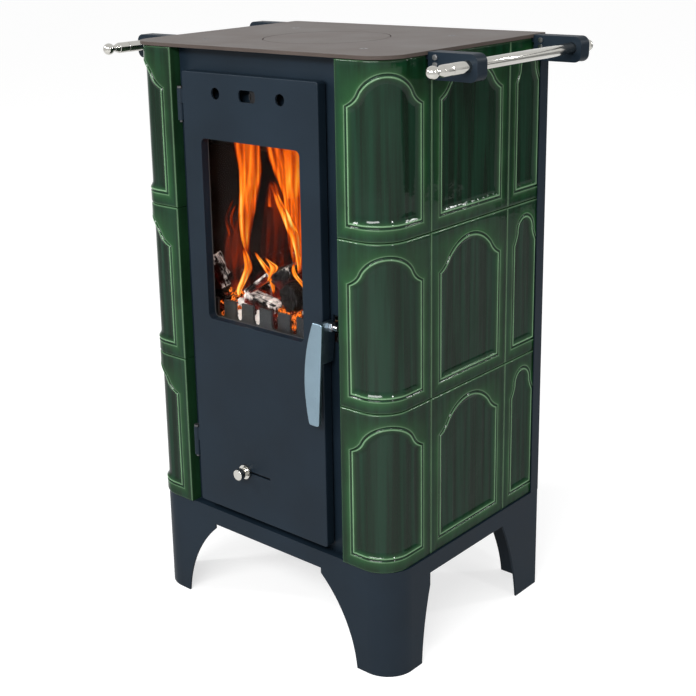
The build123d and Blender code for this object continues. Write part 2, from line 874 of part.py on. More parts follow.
rail_start = front + rail_ball_front + finial_length
rail_end = front + rail_ball_rear - finial_length

with BuildPart() as rails:
    with BuildSketch(front_view(rail_end)):
        with Locations((-rail_x, rail_z), (rail_x, rail_z)):
            Circle(rail_radius)
            Circle(rail_radius - rail_wall, mode=Mode.SUBTRACT)
    extrude(amount=rail_end - rail_start)
rails.part.label = "rails"
export_step(rails.part, "parts/rails.step")


def finial_profile():
    """Half section of a finial: ball, neck, flare and the plug inside the tube; axis is X."""
    neck_angle = math.asin(neck_radius / ball_radius)
    neck_x = ball_radius * math.cos(neck_angle)
    plug_radius = rail_radius - rail_wall - plug_play
    with BuildLine() as section:
        Line((finial_length + plug_length, 0), (-ball_radius, 0))
        ThreePointArc((-ball_radius, 0), (0, ball_radius), (neck_x, neck_radius))
        Polyline((neck_x, neck_radius), (neck_at, neck_radius),
                 (flare_at - flare_groove, rail_radius - flare_groove),
                 (flare_at, rail_radius), (finial_length, rail_radius),
                 (finial_length, plug_radius), (finial_length + plug_length, plug_radius),
                 (finial_length + plug_length, 0))
    make_face(section.edges())


with BuildPart() as finials:
    for _, side in sides:
        for ball_y, direction in ((front + rail_ball_front, 1), (front + rail_ball_rear, -1)):
            half_section = Plane(origin=(side * rail_x, ball_y, rail_z),
                                 x_dir=(0, direction, 0), z_dir=(1, 0, 0))
            with BuildSketch(half_section):
                finial_profile()
            revolve(axis=Axis((side * rail_x, ball_y, rail_z), (0, 1, 0)))
finials.part.label = "rail_finials"
export_step(finials.part, "parts/rail_finials.step")

with BuildPart() as brackets:
    for _, side in sides:
        for y in bracket_ys:
            with BuildSketch(front_view(y + bracket_width / 2)):
                middle_x = side * (bracket_root + bracket_end) / 2
                with Locations((middle_x, bracket_top - bracket_height / 2)):
                    Rectangle(bracket_end - bracket_root, bracket_height)
                fillet(vertices().group_by(Axis.X)[0 if side < 0 else -1], bracket_corner)
            extrude(amount=bracket_width)
            block(sorted((side * (bracket_root - 1), side * (bracket_end - bracket_end_wall))),
                  (y - bracket_width / 2 + bracket_wall, y + bracket_width / 2 - bracket_wall),
                  (bracket_top - bracket_height - 1, bracket_top - bracket_wall), Mode.SUBTRACT)
            with BuildSketch(front_view(y + bracket_width / 2 + 1)):
                with Locations((side * rail_x, rail_z)):
                    Circle(rail_radius + plug_play)
            extrude(amount=bracket_width + 2, mode=Mode.SUBTRACT)
            with BuildSketch(front_view(y)):
                for drop in (bracket_screw_high, bracket_screw_low):
                    with Locations((side * bracket_screw_x, plate_top - drop)):
                        Circle(bracket_screw_radius + screw_play)
            extrude(amount=bracket_width, mode=Mode.SUBTRACT)
brackets.part.label = "rail_brackets"
export_step(brackets.part, "parts/rail_brackets.step")

with BuildPart() as tongues:
    tongue_end = bracket_root + tongue_leg_length
    for _, side in sides:
        for y in bracket_ys:
            cheek = y + tongue_front
            block(sorted((side * casing_half, side * tongue_end)), (cheek, y - tongue_front),
                  (plate_bottom - tongue_thickness, plate_bottom))
            block(sorted((side * (bracket_root + tongue_play), side * tongue_end)),
                  (cheek, cheek + tongue_thickness),
                  (plate_top - tongue_leg_bottom, plate_bottom))
            with BuildSketch(front_view(cheek + tongue_thickness + 1)):
                for drop in (bracket_screw_high, bracket_screw_low):
                    with Locations((side * bracket_screw_x, plate_top - drop)):
                        Circle(bracket_screw_radius + screw_play)
            extrude(amount=tongue_thickness + 2, mode=Mode.SUBTRACT)
tongues.part.label = "rail_tongues"
export_step(tongues.part, "parts/rail_tongues.step")

with BuildPart() as bracket_screws:
    for _, side in sides:
        for y in bracket_ys:
            cheek = y - bracket_width / 2
            spots = [(side * bracket_screw_x, plate_top - drop)
                     for drop in (bracket_screw_high, bracket_screw_low)]
            with BuildSketch(front_view(cheek + bracket_wall + tongue_thickness)):
                with Locations(*spots):
                    Circle(bracket_screw_radius)
            extrude(amount=bracket_wall + tongue_thickness)
            with BuildSketch(front_view(cheek)):
                with Locations(*spots):
                    Circle(bracket_screw_head_radius)
            extrude(amount=bracket_screw_head)
bracket_screws.part.label = "bracket_screws"
export_step(bracket_screws.part, "parts/bracket_screws.step")

# ----------------------------------------------------------------------------------------------
# Inside the fire: hearth, grate, bricks, baffle, fender and ash pan
# ----------------------------------------------------------------------------------------------

lining_half = inner_half - brick_play
lining_back = inner_back - brick_play

with BuildPart() as hearth:
    block((-lining_half, lining_half), (inner_front + brick_play, lining_back),
          (shelf_z, hearth_z))
    block((-grate_width / 2, grate_width / 2),
          (grate_y - grate_length / 2, grate_y + grate_length / 2),
          (hearth_z - grate_ledge, hearth_z + 1), Mode.SUBTRACT)
    block((-grate_inner_width / 2, grate_inner_width / 2),
          (grate_y - grate_inner_length / 2, grate_y + grate_inner_length / 2),
          (shelf_z - 1, hearth_z + 1), Mode.SUBTRACT)
    fillet(edges().filter_by(Axis.Z).group_by(Axis.Y)[0], casing_radius - casing_sheet)
hearth.part.label = "hearth_plate"
export_step(hearth.part, "parts/hearth_plate.step")

with BuildPart() as grate:
    block((-grate_width / 2 + grate_play, grate_width / 2 - grate_play),
          (grate_y - grate_length / 2 + grate_play, grate_y + grate_length / 2 - grate_play),
          (hearth_z - grate_ledge, hearth_z))
    with BuildSketch(plan(hearth_z)):
        with Locations((0, grate_y)):
            with GridLocations(grate_slot_pitch, 0, grate_slots, 1):
                SlotOverall(grate_length - 2 * grate_slot_margin, grate_slot_width, rotation=90)
    extrude(amount=-grate_ledge - 1, mode=Mode.SUBTRACT)
grate.part.label = "grate"
export_step(grate.part, "parts/grate.step")

side_brick_length = (lining_back - front - brick_front - brick_joint) / 2
with BuildPart() as side_bricks:
    for _, side in sides:
        for brick in range(2):
            start = front + brick_front + brick * (side_brick_length + brick_joint)
            block(sorted((side * (lining_half - brick_thickness), side * lining_half)),
                  (start, start + side_brick_length), (hearth_z, brick_top))
side_bricks.part.label = "side_firebricks"
export_step(side_bricks.part, "parts/side_firebricks.step")

rear_brick_half = lining_half - brick_thickness - brick_joint
with BuildPart() as rear_bricks:
    for side in (-1, 1):
        block(sorted((side * brick_joint / 2, side * rear_brick_half)),
              (lining_back - brick_thickness, lining_back), (hearth_z, brick_top))
rear_bricks.part.label = "rear_firebricks"
export_step(rear_bricks.part, "parts/rear_firebricks.step")

with BuildPart() as baffle:
    block((-lining_half, lining_half), (front + baffle_front, lining_back),
          (brick_top, brick_top + baffle_thickness))
baffle.part.label = "baffle"
export_step(baffle.part, "parts/baffle.step")

with BuildPart() as fender:
    with BuildSketch(front_view(front + fender_depth + fender_sheet)):
        with Locations((0, hearth_z + fender_height / 2)):
            Rectangle(2 * fender_half, fender_height)
        with GridLocations(notch_pitch, 0, notch_count, 1):
            with Locations((0, hearth_z + fender_height)):
                SlotOverall(2 * (fender_height - notch_bottom), notch_width, rotation=90,
                            mode=Mode.SUBTRACT)
    extrude(amount=fender_sheet)
    block((-fender_half, fender_half), (front + fender_depth, front + fender_depth + fender_foot),
          (hearth_z, hearth_z + fender_sheet))
fender.part.label = "log_fender"
export_step(fender.part, "parts/log_fender.step")

pan_floor = deck_top + ash_floor + casing_sheet
with BuildPart() as ash_pan:
    with BuildSketch(plan(pan_floor)):
        with Locations((0, front + (pan_front + pan_rear) / 2)):
            RectangleRounded(2 * pan_half, pan_rear - pan_front, pan_radius)
    extrude(amount=pan_height)
    offset(amount=-pan_sheet, openings=faces().sort_by(Axis.Z)[-1])
    block((-pull_width / 2, pull_width / 2), (front + pan_front - pull_reach, front + pan_front),
          (pan_floor + pan_height - pull_height, pan_floor + pan_height - pull_height + pan_sheet))
    block((-pull_width / 2, pull_width / 2),
          (front + pan_front - pull_reach, front + pan_front - pull_reach + pan_sheet),
          (pan_floor + pan_height - 2 * pull_height,
           pan_floor + pan_height - pull_height + pan_sheet))
ash_pan.part.label = "ash_pan"
export_step(ash_pan.part, "parts/ash_pan.step")

# ----------------------------------------------------------------------------------------------
# Door: face sheet with returned edges, window return, seal channel, guides and studs
# ----------------------------------------------------------------------------------------------

vents = [(door_middle + offset_x, vent_z) for offset_x in (-vent_pitch, vent_pitch)]
window_outer = door_sheet + window_half
stud_spots = [(door_middle + side * (window_outer + stud_inset),
               window_mid_z + row * side_clip_pitch / 2) for side in (-1, 1) for row in (-1, 1)]
stud_spots += [(door_middle, window_mid_z + end * (window_height / 2 + door_sheet + stud_inset))
               for end in (-1, 1)]
slot_from = knob_x - shank_width / 2 - shank_play
slot_to = knob_x + knob_travel + shank_width / 2 + shank_play
wash_y = front + door_sheet + slide_play
wash_low = vent_z - wash_slide_height / 2
wash_high = vent_z + wash_slide_height / 2
wash_lip_y = wash_y + wash_slide_sheet + slide_play
wash_window_left = vent_slot_width / 2 + wash_window_margin
wash_window_right = wash_slide_travel - vent_slot_width / 2 + wash_tab_margin
rib_depth = door_depth - liner_sheet

with BuildPart() as door:
    with BuildSketch(front_view(door_back)):
        door_frame(0, radius=door_corner)
    extrude(amount=door_depth)
    fillet(faces().sort_by(Axis.Y)[0].edges(), door_edge_radius)
    with BuildSketch(front_view(door_back)):
        door_frame(door_sheet)
    extrude(amount=door_depth - door_sheet, mode=Mode.SUBTRACT)
    with BuildSketch(front_view(front + rib_depth)):
        door_frame(rib_inset)
        with BuildSketch(mode=Mode.PRIVATE) as inside:
            door_frame(rib_inset + door_sheet)
        add(inside.sketch, mode=Mode.SUBTRACT)
    extrude(amount=rib_depth - door_sheet)
    with BuildSketch(front_view(gasket_front)):
        door_frame(-door_sheet, width=2 * window_half, middle_z=window_mid_z,
                   height=window_height, radius=window_radius + door_sheet)
    extrude(amount=window_return - door_sheet)
    with BuildSketch(front_view(gasket_front)):
        door_frame(0, width=2 * window_half, middle_z=window_mid_z, height=window_height,
                   radius=window_radius)
    extrude(amount=window_return, mode=Mode.SUBTRACT)
    with BuildSketch(front_view(front + door_sheet)):
        with Locations(*vents):
            Circle(vent_radius)
        with Locations((door_middle, vent_z)):
            RectangleRounded(vent_slot_width, 2 * vent_radius, vent_slot_radius)
        with Locations(((slot_from + slot_to) / 2, knob_z)):
            Rectangle(slot_to - slot_from, shank_height + 2 * shank_play)
    extrude(amount=door_sheet, mode=Mode.SUBTRACT)
    with BuildSketch(plan(door_low)):
        with Locations((door_middle, front + door_depth / 2)):
            with GridLocations(intake_pitch, 0, intake_slots, 1):
                SlotOverall(intake_width, intake_depth)
    extrude(amount=door_sheet, mode=Mode.SUBTRACT)
    # guides that carry the air-wash slide
    for edge_z, direction in ((wash_low - slide_play, -1), (wash_high + slide_play, 1)):
        block((door_middle - vent_pitch, door_middle + vent_pitch),
              (front + door_sheet, wash_lip_y + guide_sheet),
              sorted((edge_z, edge_z + direction * guide_sheet)))
        for end in (-1, 1):
            lip_middle = door_middle + end * guide_lip_x
            block((lip_middle - guide_lip, lip_middle + guide_lip),
                  (wash_lip_y, wash_lip_y + guide_sheet),
                  sorted((edge_z, edge_z - direction * guide_lip)))
    # studs for the glass clips, and the boss round the latch pin
    with BuildSketch(front_view(front + door_sheet + stud_length)):
        with Locations(*stud_spots):
            Circle(stud_radius)
    extrude(amount=stud_length)
    with BuildSketch(side_view(door_right)):
        with Locations((latch_y, latch_z)):
            Circle(latch_boss_radius)
    extrude(amount=latch_side_gap - hook_side_play)
    with BuildSketch(side_view(door_right - door_sheet - 1)):
        with Locations((latch_y, latch_z)):
            Circle(latch_pin_radius + screw_play)
    extrude(amount=door_sheet + latch_side_gap + 2, mode=Mode.SUBTRACT)
door.part.label = "door_panel"
export_step(door.part, "parts/door_panel.step")

# Liner over the lower half of the door, with the primary air ports and the slide's guides
ports = [(door_middle + air_port_middle + side * air_port_pitch / 2, knob_z)
         for side in (-1, 1)]
liner_front = front + rib_depth
air_slide_back = liner_front - slide_play
air_lip_back = air_slide_back - air_slide_sheet - slide_play

with BuildPart() as liner:
    liner_low = door_low + rib_inset
    block((door_left + rib_inset, door_right - rib_inset), (liner_front, door_back),
          (liner_low, deck_top + liner_top))
    with BuildSketch(front_view(door_back)):
        with Locations(*ports):
            Circle(air_port_radius)
    extrude(amount=liner_sheet, mode=Mode.SUBTRACT)
    for direction in (-1, 1):
        edge_z = knob_z + direction * (air_slide_height / 2 + slide_play)
        x_range = (door_left + rib_inset + door_sheet + 1, door_right - rib_inset - door_sheet - 1)
        block(x_range, (air_lip_back - guide_sheet, liner_front),
              sorted((edge_z, edge_z + direction * guide_sheet)))
        block(x_range, (air_lip_back - guide_sheet, air_lip_back),
              sorted((edge_z + direction * guide_sheet, edge_z - direction * guide_lip)))
liner.part.label = "door_liner"
export_step(liner.part, "parts/door_liner.step")

with BuildPart() as seal:
    seal_back = panel_front - seal_gap
    with BuildSketch(front_view(seal_back)):
        door_frame(seal_inset + screw_play, radius=seal_corner)
        with BuildSketch(mode=Mode.PRIVATE) as inside:
            door_frame(rib_inset - screw_play)
        add(inside.sketch, mode=Mode.SUBTRACT)
    extrude(amount=seal_height)
    fillet(faces().sort_by(Axis.Y)[-1].edges(), seal_corner / 2)
seal.part.label = "door_seal"
export_step(seal.part, "parts/door_seal.step")

# ----------------------------------------------------------------------------------------------
# Door glass, gasket, clips and nuts
# ----------------------------------------------------------------------------------------------

with BuildPart() as gasket:
    with BuildSketch(front_view(glass_front)):
        door_frame(-gasket_width, width=2 * window_half, middle_z=window_mid_z,
                   height=window_height, radius=glass_radius)
        with BuildSketch(mode=Mode.PRIVATE) as inside:
            door_frame(0, width=2 * window_half, middle_z=window_mid_z, height=window_height,
                       radius=window_radius)
        add(inside.sketch, mode=Mode.SUBTRACT)
    extrude(amount=gasket_thickness)
gasket.part.label = "glass_gasket"
export_step(gasket.part, "parts/glass_gasket.step")

with BuildPart() as glass:
    with BuildSketch(front_view(glass_back)):
        door_frame(-glass_cover, width=2 * window_half, middle_z=window_mid_z,
                   height=window_height, radius=glass_radius)
    extrude(amount=glass_thickness)
glass.part.label = "door_glass"
export_step(glass.part, "parts/door_glass.step")


def glass_clip(stud, outward):
    """Clip bent like a Z: foot on its stud, leg past the glass edge, toe over the glass."""
    face = front + door_sheet
    reach = glass_cover - door_sheet - stud_inset
    toe = reach + glass_clip_gap + glass_clip_sheet
    for near, far, low_y, high_y in (
            (-glass_clip_heel, toe, face, face + glass_clip_sheet),
            (toe - glass_clip_sheet, toe, face, glass_back + glass_clip_sheet),
            (toe - glass_clip_sheet - glass_clip_toe, toe, glass_back,
             glass_back + glass_clip_sheet)):
        if outward[0]:
            block(sorted((stud[0] + outward[0] * near, stud[0] + outward[0] * far)),
                  (low_y, high_y),
                  (stud[1] - glass_clip_width / 2, stud[1] + glass_clip_width / 2))
        else:
            block((stud[0] - glass_clip_width / 2, stud[0] + glass_clip_width / 2),
                  (low_y, high_y),
                  sorted((stud[1] + outward[1] * near, stud[1] + outward[1] * far)))


with BuildPart() as clips:
    for stud in stud_spots:
        if stud[0] == door_middle:
            glass_clip(stud, (0, math.copysign(1, stud[1] - window_mid_z)))
        else:
            glass_clip(stud, (math.copysign(1, stud[0] - door_middle), 0))
    with BuildSketch(front_view(front + door_sheet + stud_length)):
        with Locations(*stud_spots):
            Circle(stud_radius + screw_play)
    extrude(amount=stud_length, mode=Mode.SUBTRACT)
clips.part.label = "glass_clips"
export_step(clips.part, "parts/glass_clips.step")

with BuildPart() as clip_nuts:
    nut_front = front + door_sheet + glass_clip_sheet
    with BuildSketch(front_view(nut_front + nut_height)):
        with Locations(*stud_spots):
            RegularPolygon(nut_radius, 6)
            Circle(stud_radius + screw_play, mode=Mode.SUBTRACT)
    extrude(amount=nut_height)
clip_nuts.part.label = "glass_clip_nuts"
export_step(clip_nuts.part, "parts/glass_clip_nuts.step")

# ----------------------------------------------------------------------------------------------
# Air-wash slide, primary air slide and its knob
# ----------------------------------------------------------------------------------------------

with BuildPart() as wash_slide:
    wash_back = wash_y + wash_slide_sheet
    with BuildSketch(front_view(wash_back)):
        with Locations((door_middle, vent_z)):
            Rectangle(2 * wash_slide_half, wash_slide_height)
        with Locations(*vents):
            Circle(vent_radius + 0.5, mode=Mode.SUBTRACT)
        with Locations((door_middle + (wash_window_right - wash_window_left) / 2, vent_z)):
            Rectangle(wash_window_left + wash_window_right, 2 * vent_radius,
                      mode=Mode.SUBTRACT)
    extrude(amount=wash_slide_sheet)
    block((door_middle + wash_window_right, door_middle + wash_window_right + wash_slide_sheet),
          (front + door_edge_radius, wash_back), (vent_z - wash_tab_half, vent_z + wash_tab_half))
wash_slide.part.label = "air_wash_slide"
export_step(wash_slide.part, "parts/air_wash_slide.step")

with BuildPart() as air_slide:
    with BuildSketch(front_view(air_slide_back)):
        with Locations((door_middle + air_port_middle, knob_z)):
            Rectangle(2 * air_slide_half, air_slide_height)
        with Locations(*ports):
            Circle(air_port_radius, mode=Mode.SUBTRACT)
    extrude(amount=air_slide_sheet)
air_slide.part.label = "air_slide"
export_step(air_slide.part, "parts/air_slide.step")

with BuildPart() as knob:
    collar_back = front - knob_face_gap
    head_back = front - knob_reach + knob_head
    for radius, back, length in ((knob_collar_radius, collar_back, knob_collar),
                                 (knob_stem_radius, collar_back, knob_reach - knob_face_gap),
                                 (knob_head_radius, head_back, knob_head)):
        with BuildSketch(front_view(back)):
            with Locations((knob_x, knob_z)):
                Circle(radius)
        extrude(amount=length)
    fillet(edges().group_by(Axis.Y)[0], knob_edge)
    block((knob_x - shank_width / 2, knob_x + shank_width / 2),
          (collar_back, air_slide_back - air_slide_sheet),
          (knob_z - shank_height / 2, knob_z + shank_height / 2))
knob.part.label = "air_knob"
export_step(knob.part, "parts/air_knob.step")

# ----------------------------------------------------------------------------------------------
# Door hinges
# ----------------------------------------------------------------------------------------------

hinge_y = front + hinge_depth
hinge_at = (hinge_x, hinge_y)

with BuildPart() as frame_knuckles:
    for bottom in hinge_bottoms:
        low = deck_top + bottom
        with BuildSketch(plan(low)):
            with Locations(hinge_at):
                Circle(knuckle_radius)
            with Locations((hinge_x, (hinge_y + panel_front) / 2)):
                Rectangle(hinge_arm, panel_front - hinge_y)
        extrude(amount=frame_knuckle)
        with Locations((hinge_x, hinge_y, low)):
            Cylinder(pin_radius + pin_play, 4 * frame_knuckle, mode=Mode.SUBTRACT)
frame_knuckles.part.label = "hinge_frame_halves"
export_step(frame_knuckles.part, "parts/hinge_frame_halves.step")

with BuildPart() as door_knuckles:
    for bottom in hinge_bottoms:
        low = deck_top + bottom + frame_knuckle + knuckle_gap
        with BuildSketch(plan(low)):
            with Locations(hinge_at):
                Circle(knuckle_radius)
            with Locations(((hinge_x + door_left) / 2, hinge_y)):
                Rectangle(door_left - hinge_x, hinge_arm)
        extrude(amount=door_knuckle)
        with Locations((hinge_x, hinge_y, low)):
            Cylinder(pin_radius + pin_play, 4 * door_knuckle, mode=Mode.SUBTRACT)
door_knuckles.part.label = "hinge_door_halves"
export_step(door_knuckles.part, "parts/hinge_door_halves.step")

with BuildPart() as pins:
    for bottom in hinge_bottoms:
        low = deck_top + bottom - pin_tail
        head_low = deck_top + bottom + frame_knuckle + door_knuckle + 2 * knuckle_gap
        with Locations((hinge_x, hinge_y, low)):
            Cylinder(pin_radius, head_low - low,
                     align=(Align.CENTER, Align.CENTER, Align.MIN))
        with Locations((hinge_x, hinge_y, head_low)):
            Cylinder(pin_head_radius, pin_head,
                     align=(Align.CENTER, Align.CENTER, Align.MIN))
pins.part.label = "hinge_pins"
export_step(pins.part, "parts/hinge_pins.step")

# ----------------------------------------------------------------------------------------------
# Latch: handle blade with its hook plate, and the pin with its nut
# ----------------------------------------------------------------------------------------------

blade_back = front - blade_gap

with BuildPart() as latch:
    with BuildSketch(front_view(blade_back)):
        blade_top = latch_z + blade_rise
        blade_low = blade_top - blade_length
        with BuildLine():
            Polyline((hook_left - blade_top_left, blade_top),
                     (hook_left + blade_top_right, blade_top),
                     (hook_left + blade_low_right, blade_low),
                     (hook_left - blade_low_left, blade_low))
            ThreePointArc((hook_left - blade_low_left, blade_low),
                          (hook_left - blade_belly, latch_z - blade_belly_drop),
                          (hook_left - blade_top_left, blade_top))
        make_face()
        fillet(vertices().group_by(Axis.X)[-1] + vertices().group_by(Axis.Y)[0], blade_corner)
    extrude(amount=blade_thickness)
    fillet(faces().sort_by(Axis.Y)[0].edges(), blade_edge)
    with BuildSketch(side_view(hook_left)):
        rear_y = latch_y + hook_body_rear
        tip_y = latch_y + hook_reach
        with BuildLine():
            Polyline((blade_back, hook_nose_top), (rear_y, hook_nose_top),
                     (rear_y, latch_z + hook_arm_rise),
                     (tip_y - hook_nose, latch_z + hook_arm_rise),
                     (tip_y - hook_nose, hook_nose_top),
                     (tip_y, hook_nose_top), (tip_y, latch_z - hook_arm_drop),
                     (latch_y + hook_lower_rear, latch_z - hook_arm_drop - hook_shoulder),
                     (latch_y + hook_lower_rear - hook_taper, latch_z - hook_bottom),
                     (blade_back, latch_z - hook_bottom), (blade_back, hook_nose_top))
        make_face()
        with Locations((latch_y, latch_z)):
            Circle(latch_pin_radius + pin_play, mode=Mode.SUBTRACT)
    extrude(amount=hook_sheet)
latch.part.label = "latch_handle"
export_step(latch.part, "parts/latch_handle.step")

with BuildPart() as latch_pin:
    with BuildSketch(side_view(door_right - door_sheet)):
        with Locations((latch_y, latch_z)):
            Circle(latch_pin_radius)
    extrude(amount=latch_pin_end - door_right + door_sheet)
    with BuildSketch(side_view(hook_right + hook_side_play)):
        with Locations((latch_y, latch_z)):
            RegularPolygon(latch_nut_radius, 6)
            Circle(latch_pin_radius + screw_play, mode=Mode.SUBTRACT)
    extrude(amount=latch_nut)
latch_pin.part.label = "latch_pin"
export_step(latch_pin.part, "parts/latch_pin.step")
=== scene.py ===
import math

import bmesh
import bpy
from mathutils import Matrix, Vector, noise


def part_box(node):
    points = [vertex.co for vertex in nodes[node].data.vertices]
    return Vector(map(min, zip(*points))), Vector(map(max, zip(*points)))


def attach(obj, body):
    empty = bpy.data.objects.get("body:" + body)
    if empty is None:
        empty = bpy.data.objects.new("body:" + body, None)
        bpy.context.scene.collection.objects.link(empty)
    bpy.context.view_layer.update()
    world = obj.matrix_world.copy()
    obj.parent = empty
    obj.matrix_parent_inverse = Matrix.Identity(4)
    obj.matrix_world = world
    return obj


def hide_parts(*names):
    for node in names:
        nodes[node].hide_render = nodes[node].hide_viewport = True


bl_info = {
    "name": "Tiled stove",
    "version": (1, 0, 0),
    "blender": (4, 5, 0),
    "location": "3D View > Sidebar > Stove",
    "description": "Glazed tiles, painted steel, fire and studio for a tiled wood stove",
    "category": "Object",
}

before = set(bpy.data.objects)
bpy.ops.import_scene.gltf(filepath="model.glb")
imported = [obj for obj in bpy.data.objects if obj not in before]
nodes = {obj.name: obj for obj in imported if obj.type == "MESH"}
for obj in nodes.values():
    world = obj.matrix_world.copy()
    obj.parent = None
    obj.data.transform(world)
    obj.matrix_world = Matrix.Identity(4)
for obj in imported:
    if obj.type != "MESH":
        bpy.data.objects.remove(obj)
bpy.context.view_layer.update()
rows = ("bottom", "middle", "top")
sides = (("left", -1), ("right", 1))

# Places read from the frame, in metres
tile_low, tile_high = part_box("right_side_tile_bottom")
corner_low, corner_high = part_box("right_corner_tile_bottom")
hearth_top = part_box("hearth_plate")[1].z
glaze_x = tile_high.x
glaze_y = corner_low.y
panel_edge_x = corner_low.x
corner_end_y = corner_high.y
tile_height = tile_high.z - tile_low.z
tile_depth = tile_high.x - tile_low.x


# ------------------------------------------------------------------------------------------
# Settings
# ------------------------------------------------------------------------------------------

class StoveGlazeSettings(bpy.types.PropertyGroup):
    """Shape and colour of the glazed tiles."""

    corner_radius: bpy.props.FloatProperty(
        name="Corner radius", description="Outer radius of the rounded corner tiles",
        default=0.045, min=0.03, unit="LENGTH")
    edge_radius: bpy.props.FloatProperty(
        name="Edge radius", description="Rounding of each tile's outer edge",
        default=0.003, min=0.001, unit="LENGTH")
    field_depth: bpy.props.FloatProperty(
        name="Field depth", description="How far the arched field lies under the margin",
        default=0.0034, unit="LENGTH")
    bead_height: bpy.props.FloatProperty(
        name="Bead height", description="How far the bead stands over the margin",
        default=0.0004, unit="LENGTH")
    groove_depth: bpy.props.FloatProperty(
        name="Groove depth", description="Depth of the groove outside the bead",
        default=0.0013, unit="LENGTH")
    deep: bpy.props.FloatVectorProperty(
        name="Deep glaze", description="Colour where the glaze is thick", subtype="COLOR",
        default=(0.0035, 0.0165, 0.0070))
    margin: bpy.props.FloatVectorProperty(
        name="Margin glaze", description="Colour on the tiles' margins", subtype="COLOR",
        default=(0.0035, 0.036, 0.0075))
    pale: bpy.props.FloatVectorProperty(
        name="Cloudy glaze", description="Colour of the bluish runs in the thick glaze",
        subtype="COLOR", default=(0.0040, 0.0245, 0.0120))
    thin: bpy.props.FloatVectorProperty(
        name="Thin glaze", description="Colour where glaze has run off ridges",
        subtype="COLOR", default=(0.145, 0.265, 0.145))
    shine: bpy.props.FloatProperty(
        name="Glaze shine", description="Strength of the glaze's reflections", default=0.24,
        min=0.0, max=1.0)
    roughness: bpy.props.FloatProperty(
        name="Glaze roughness", description="Micro roughness of the glaze", default=0.05,
        min=0.0, max=1.0)


class StoveSteelSettings(bpy.types.PropertyGroup):
    """Paint on the sheet steel."""

    paint: bpy.props.FloatVectorProperty(
        name="Paint", description="Heat-proof paint on the door, base and rear",
        subtype="COLOR", default=(0.0068, 0.013, 0.0205))
    plate: bpy.props.FloatVectorProperty(
        name="Top plate", description="Paint on the top plate and lid", subtype="COLOR",
        default=(0.060, 0.047, 0.041))
    roughness: bpy.props.FloatProperty(
        name="Paint roughness", description="Satin finish of the paint", default=0.42,
        min=0.0, max=1.0)
    grain: bpy.props.FloatProperty(
        name="Paint grain", description="Size of the paint's fine grain", default=0.0006,
        unit="LENGTH")


class StoveFireSettings(bpy.types.PropertyGroup):
    """Logs, embers and flames."""

    seed: bpy.props.IntProperty(name="Seed", description="Shape of logs and embers", default=7)
    coal_count: bpy.props.IntProperty(
        name="Coals", description="Pieces of charcoal on the bed", default=170, min=10)
    ash_count: bpy.props.IntProperty(
        name="Ash flakes", description="Flakes of pale ash on the bed", default=110, min=0)
    coal_size: bpy.props.FloatProperty(
        name="Coal size", description="Largest piece of charcoal", default=0.013,
        unit="LENGTH")
    glow: bpy.props.FloatProperty(
        name="Flame strength", description="Brightness of the flames", default=1.15, min=0.0)


class StoveRopeSettings(bpy.types.PropertyGroup):
    """Braided rope seal in the back of the door."""

    strands: bpy.props.IntProperty(
        name="Strands", description="Strands round the rope", default=6, min=3)
    pitch: bpy.props.FloatProperty(
        name="Lay", description="Length of rope for one turn of a strand", default=0.030,
        unit="LENGTH")
    lobe: bpy.props.FloatProperty(
        name="Strand relief", description="How far each strand stands out", default=0.0007,
        unit="LENGTH")


class StoveStageSettings(bpy.types.PropertyGroup):
    """Floor, lamps and camera."""

    floor_size: bpy.props.FloatProperty(
        name="Floor size", description="Half width of the floor", default=40.0,
        unit="LENGTH")
    floor_colour: bpy.props.FloatVectorProperty(
        name="Floor colour", description="Pale floor", subtype="COLOR",
        default=(0.45, 0.45, 0.45))
    floor_fill: bpy.props.FloatProperty(
        name="Floor fill", description="White added to the floor as it is seen", default=0.66)
    ambient: bpy.props.FloatProperty(
        name="Ambient", description="Strength of the even light from all round", default=0.57)
    camera_place: bpy.props.FloatVectorProperty(
        name="Camera place", description="Position of the camera", subtype="TRANSLATION",
        default=(1.2368, -1.4607, 1.0629))
    camera_turn: bpy.props.FloatVectorProperty(
        name="Camera turn", description="Heading, tilt and roll of the camera",
        subtype="EULER", default=(0.74647, -0.26753, -0.02850))
    lens: bpy.props.FloatProperty(
        name="Lens", description="Focal length in millimetres", default=66.30)
    shift: bpy.props.FloatVectorProperty(
        name="Shift", description="Lens shift across and up", size=2,
        default=(0.0833, -0.1178))


# ------------------------------------------------------------------------------------------
# Mesh helpers
# ------------------------------------------------------------------------------------------

def new_mesh(name, points, faces):
    """Mesh from points and faces."""
    mesh = bpy.data.meshes.new(name)
    mesh.from_pydata([tuple(p) for p in points], [], faces)
    return mesh


def new_object(name, data):
    """Object at the origin, linked to the scene."""
    made = bpy.data.objects.new(name, data)
    bpy.context.scene.collection.objects.link(made)
    return made


def outward(mesh, weld=False):
    """Turns a closed mesh's faces outwards, after welding doubled points if asked."""
    bm = bmesh.new()
    bm.from_mesh(mesh)
    if weld:
        bmesh.ops.remove_doubles(bm, verts=bm.verts, dist=1e-6)
        bmesh.ops.dissolve_degenerate(bm, edges=bm.edges, dist=1e-7)
    bmesh.ops.recalc_face_normals(bm, faces=bm.faces)
    bm.to_mesh(mesh)
    bm.free()


def body_piece(name, mesh, material, sharp_angle=None, weld=False):
    """Smooth object for a closed mesh, with one material, riding on the stove's body."""
    outward(mesh, weld)
    mesh.shade_smooth()
    if sharp_angle:
        mesh.set_sharp_from_angle(angle=sharp_angle)
    mesh.materials.append(material)
    piece = new_object(name, mesh)
    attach(piece, "stove_body")
    return piece


def bridge(first, second, count):
    """Quads between two closed rings of vertices that start at the given indices."""
    return [(first + i, first + (i + 1) % count, second + (i + 1) % count, second + i)
            for i in range(count)]


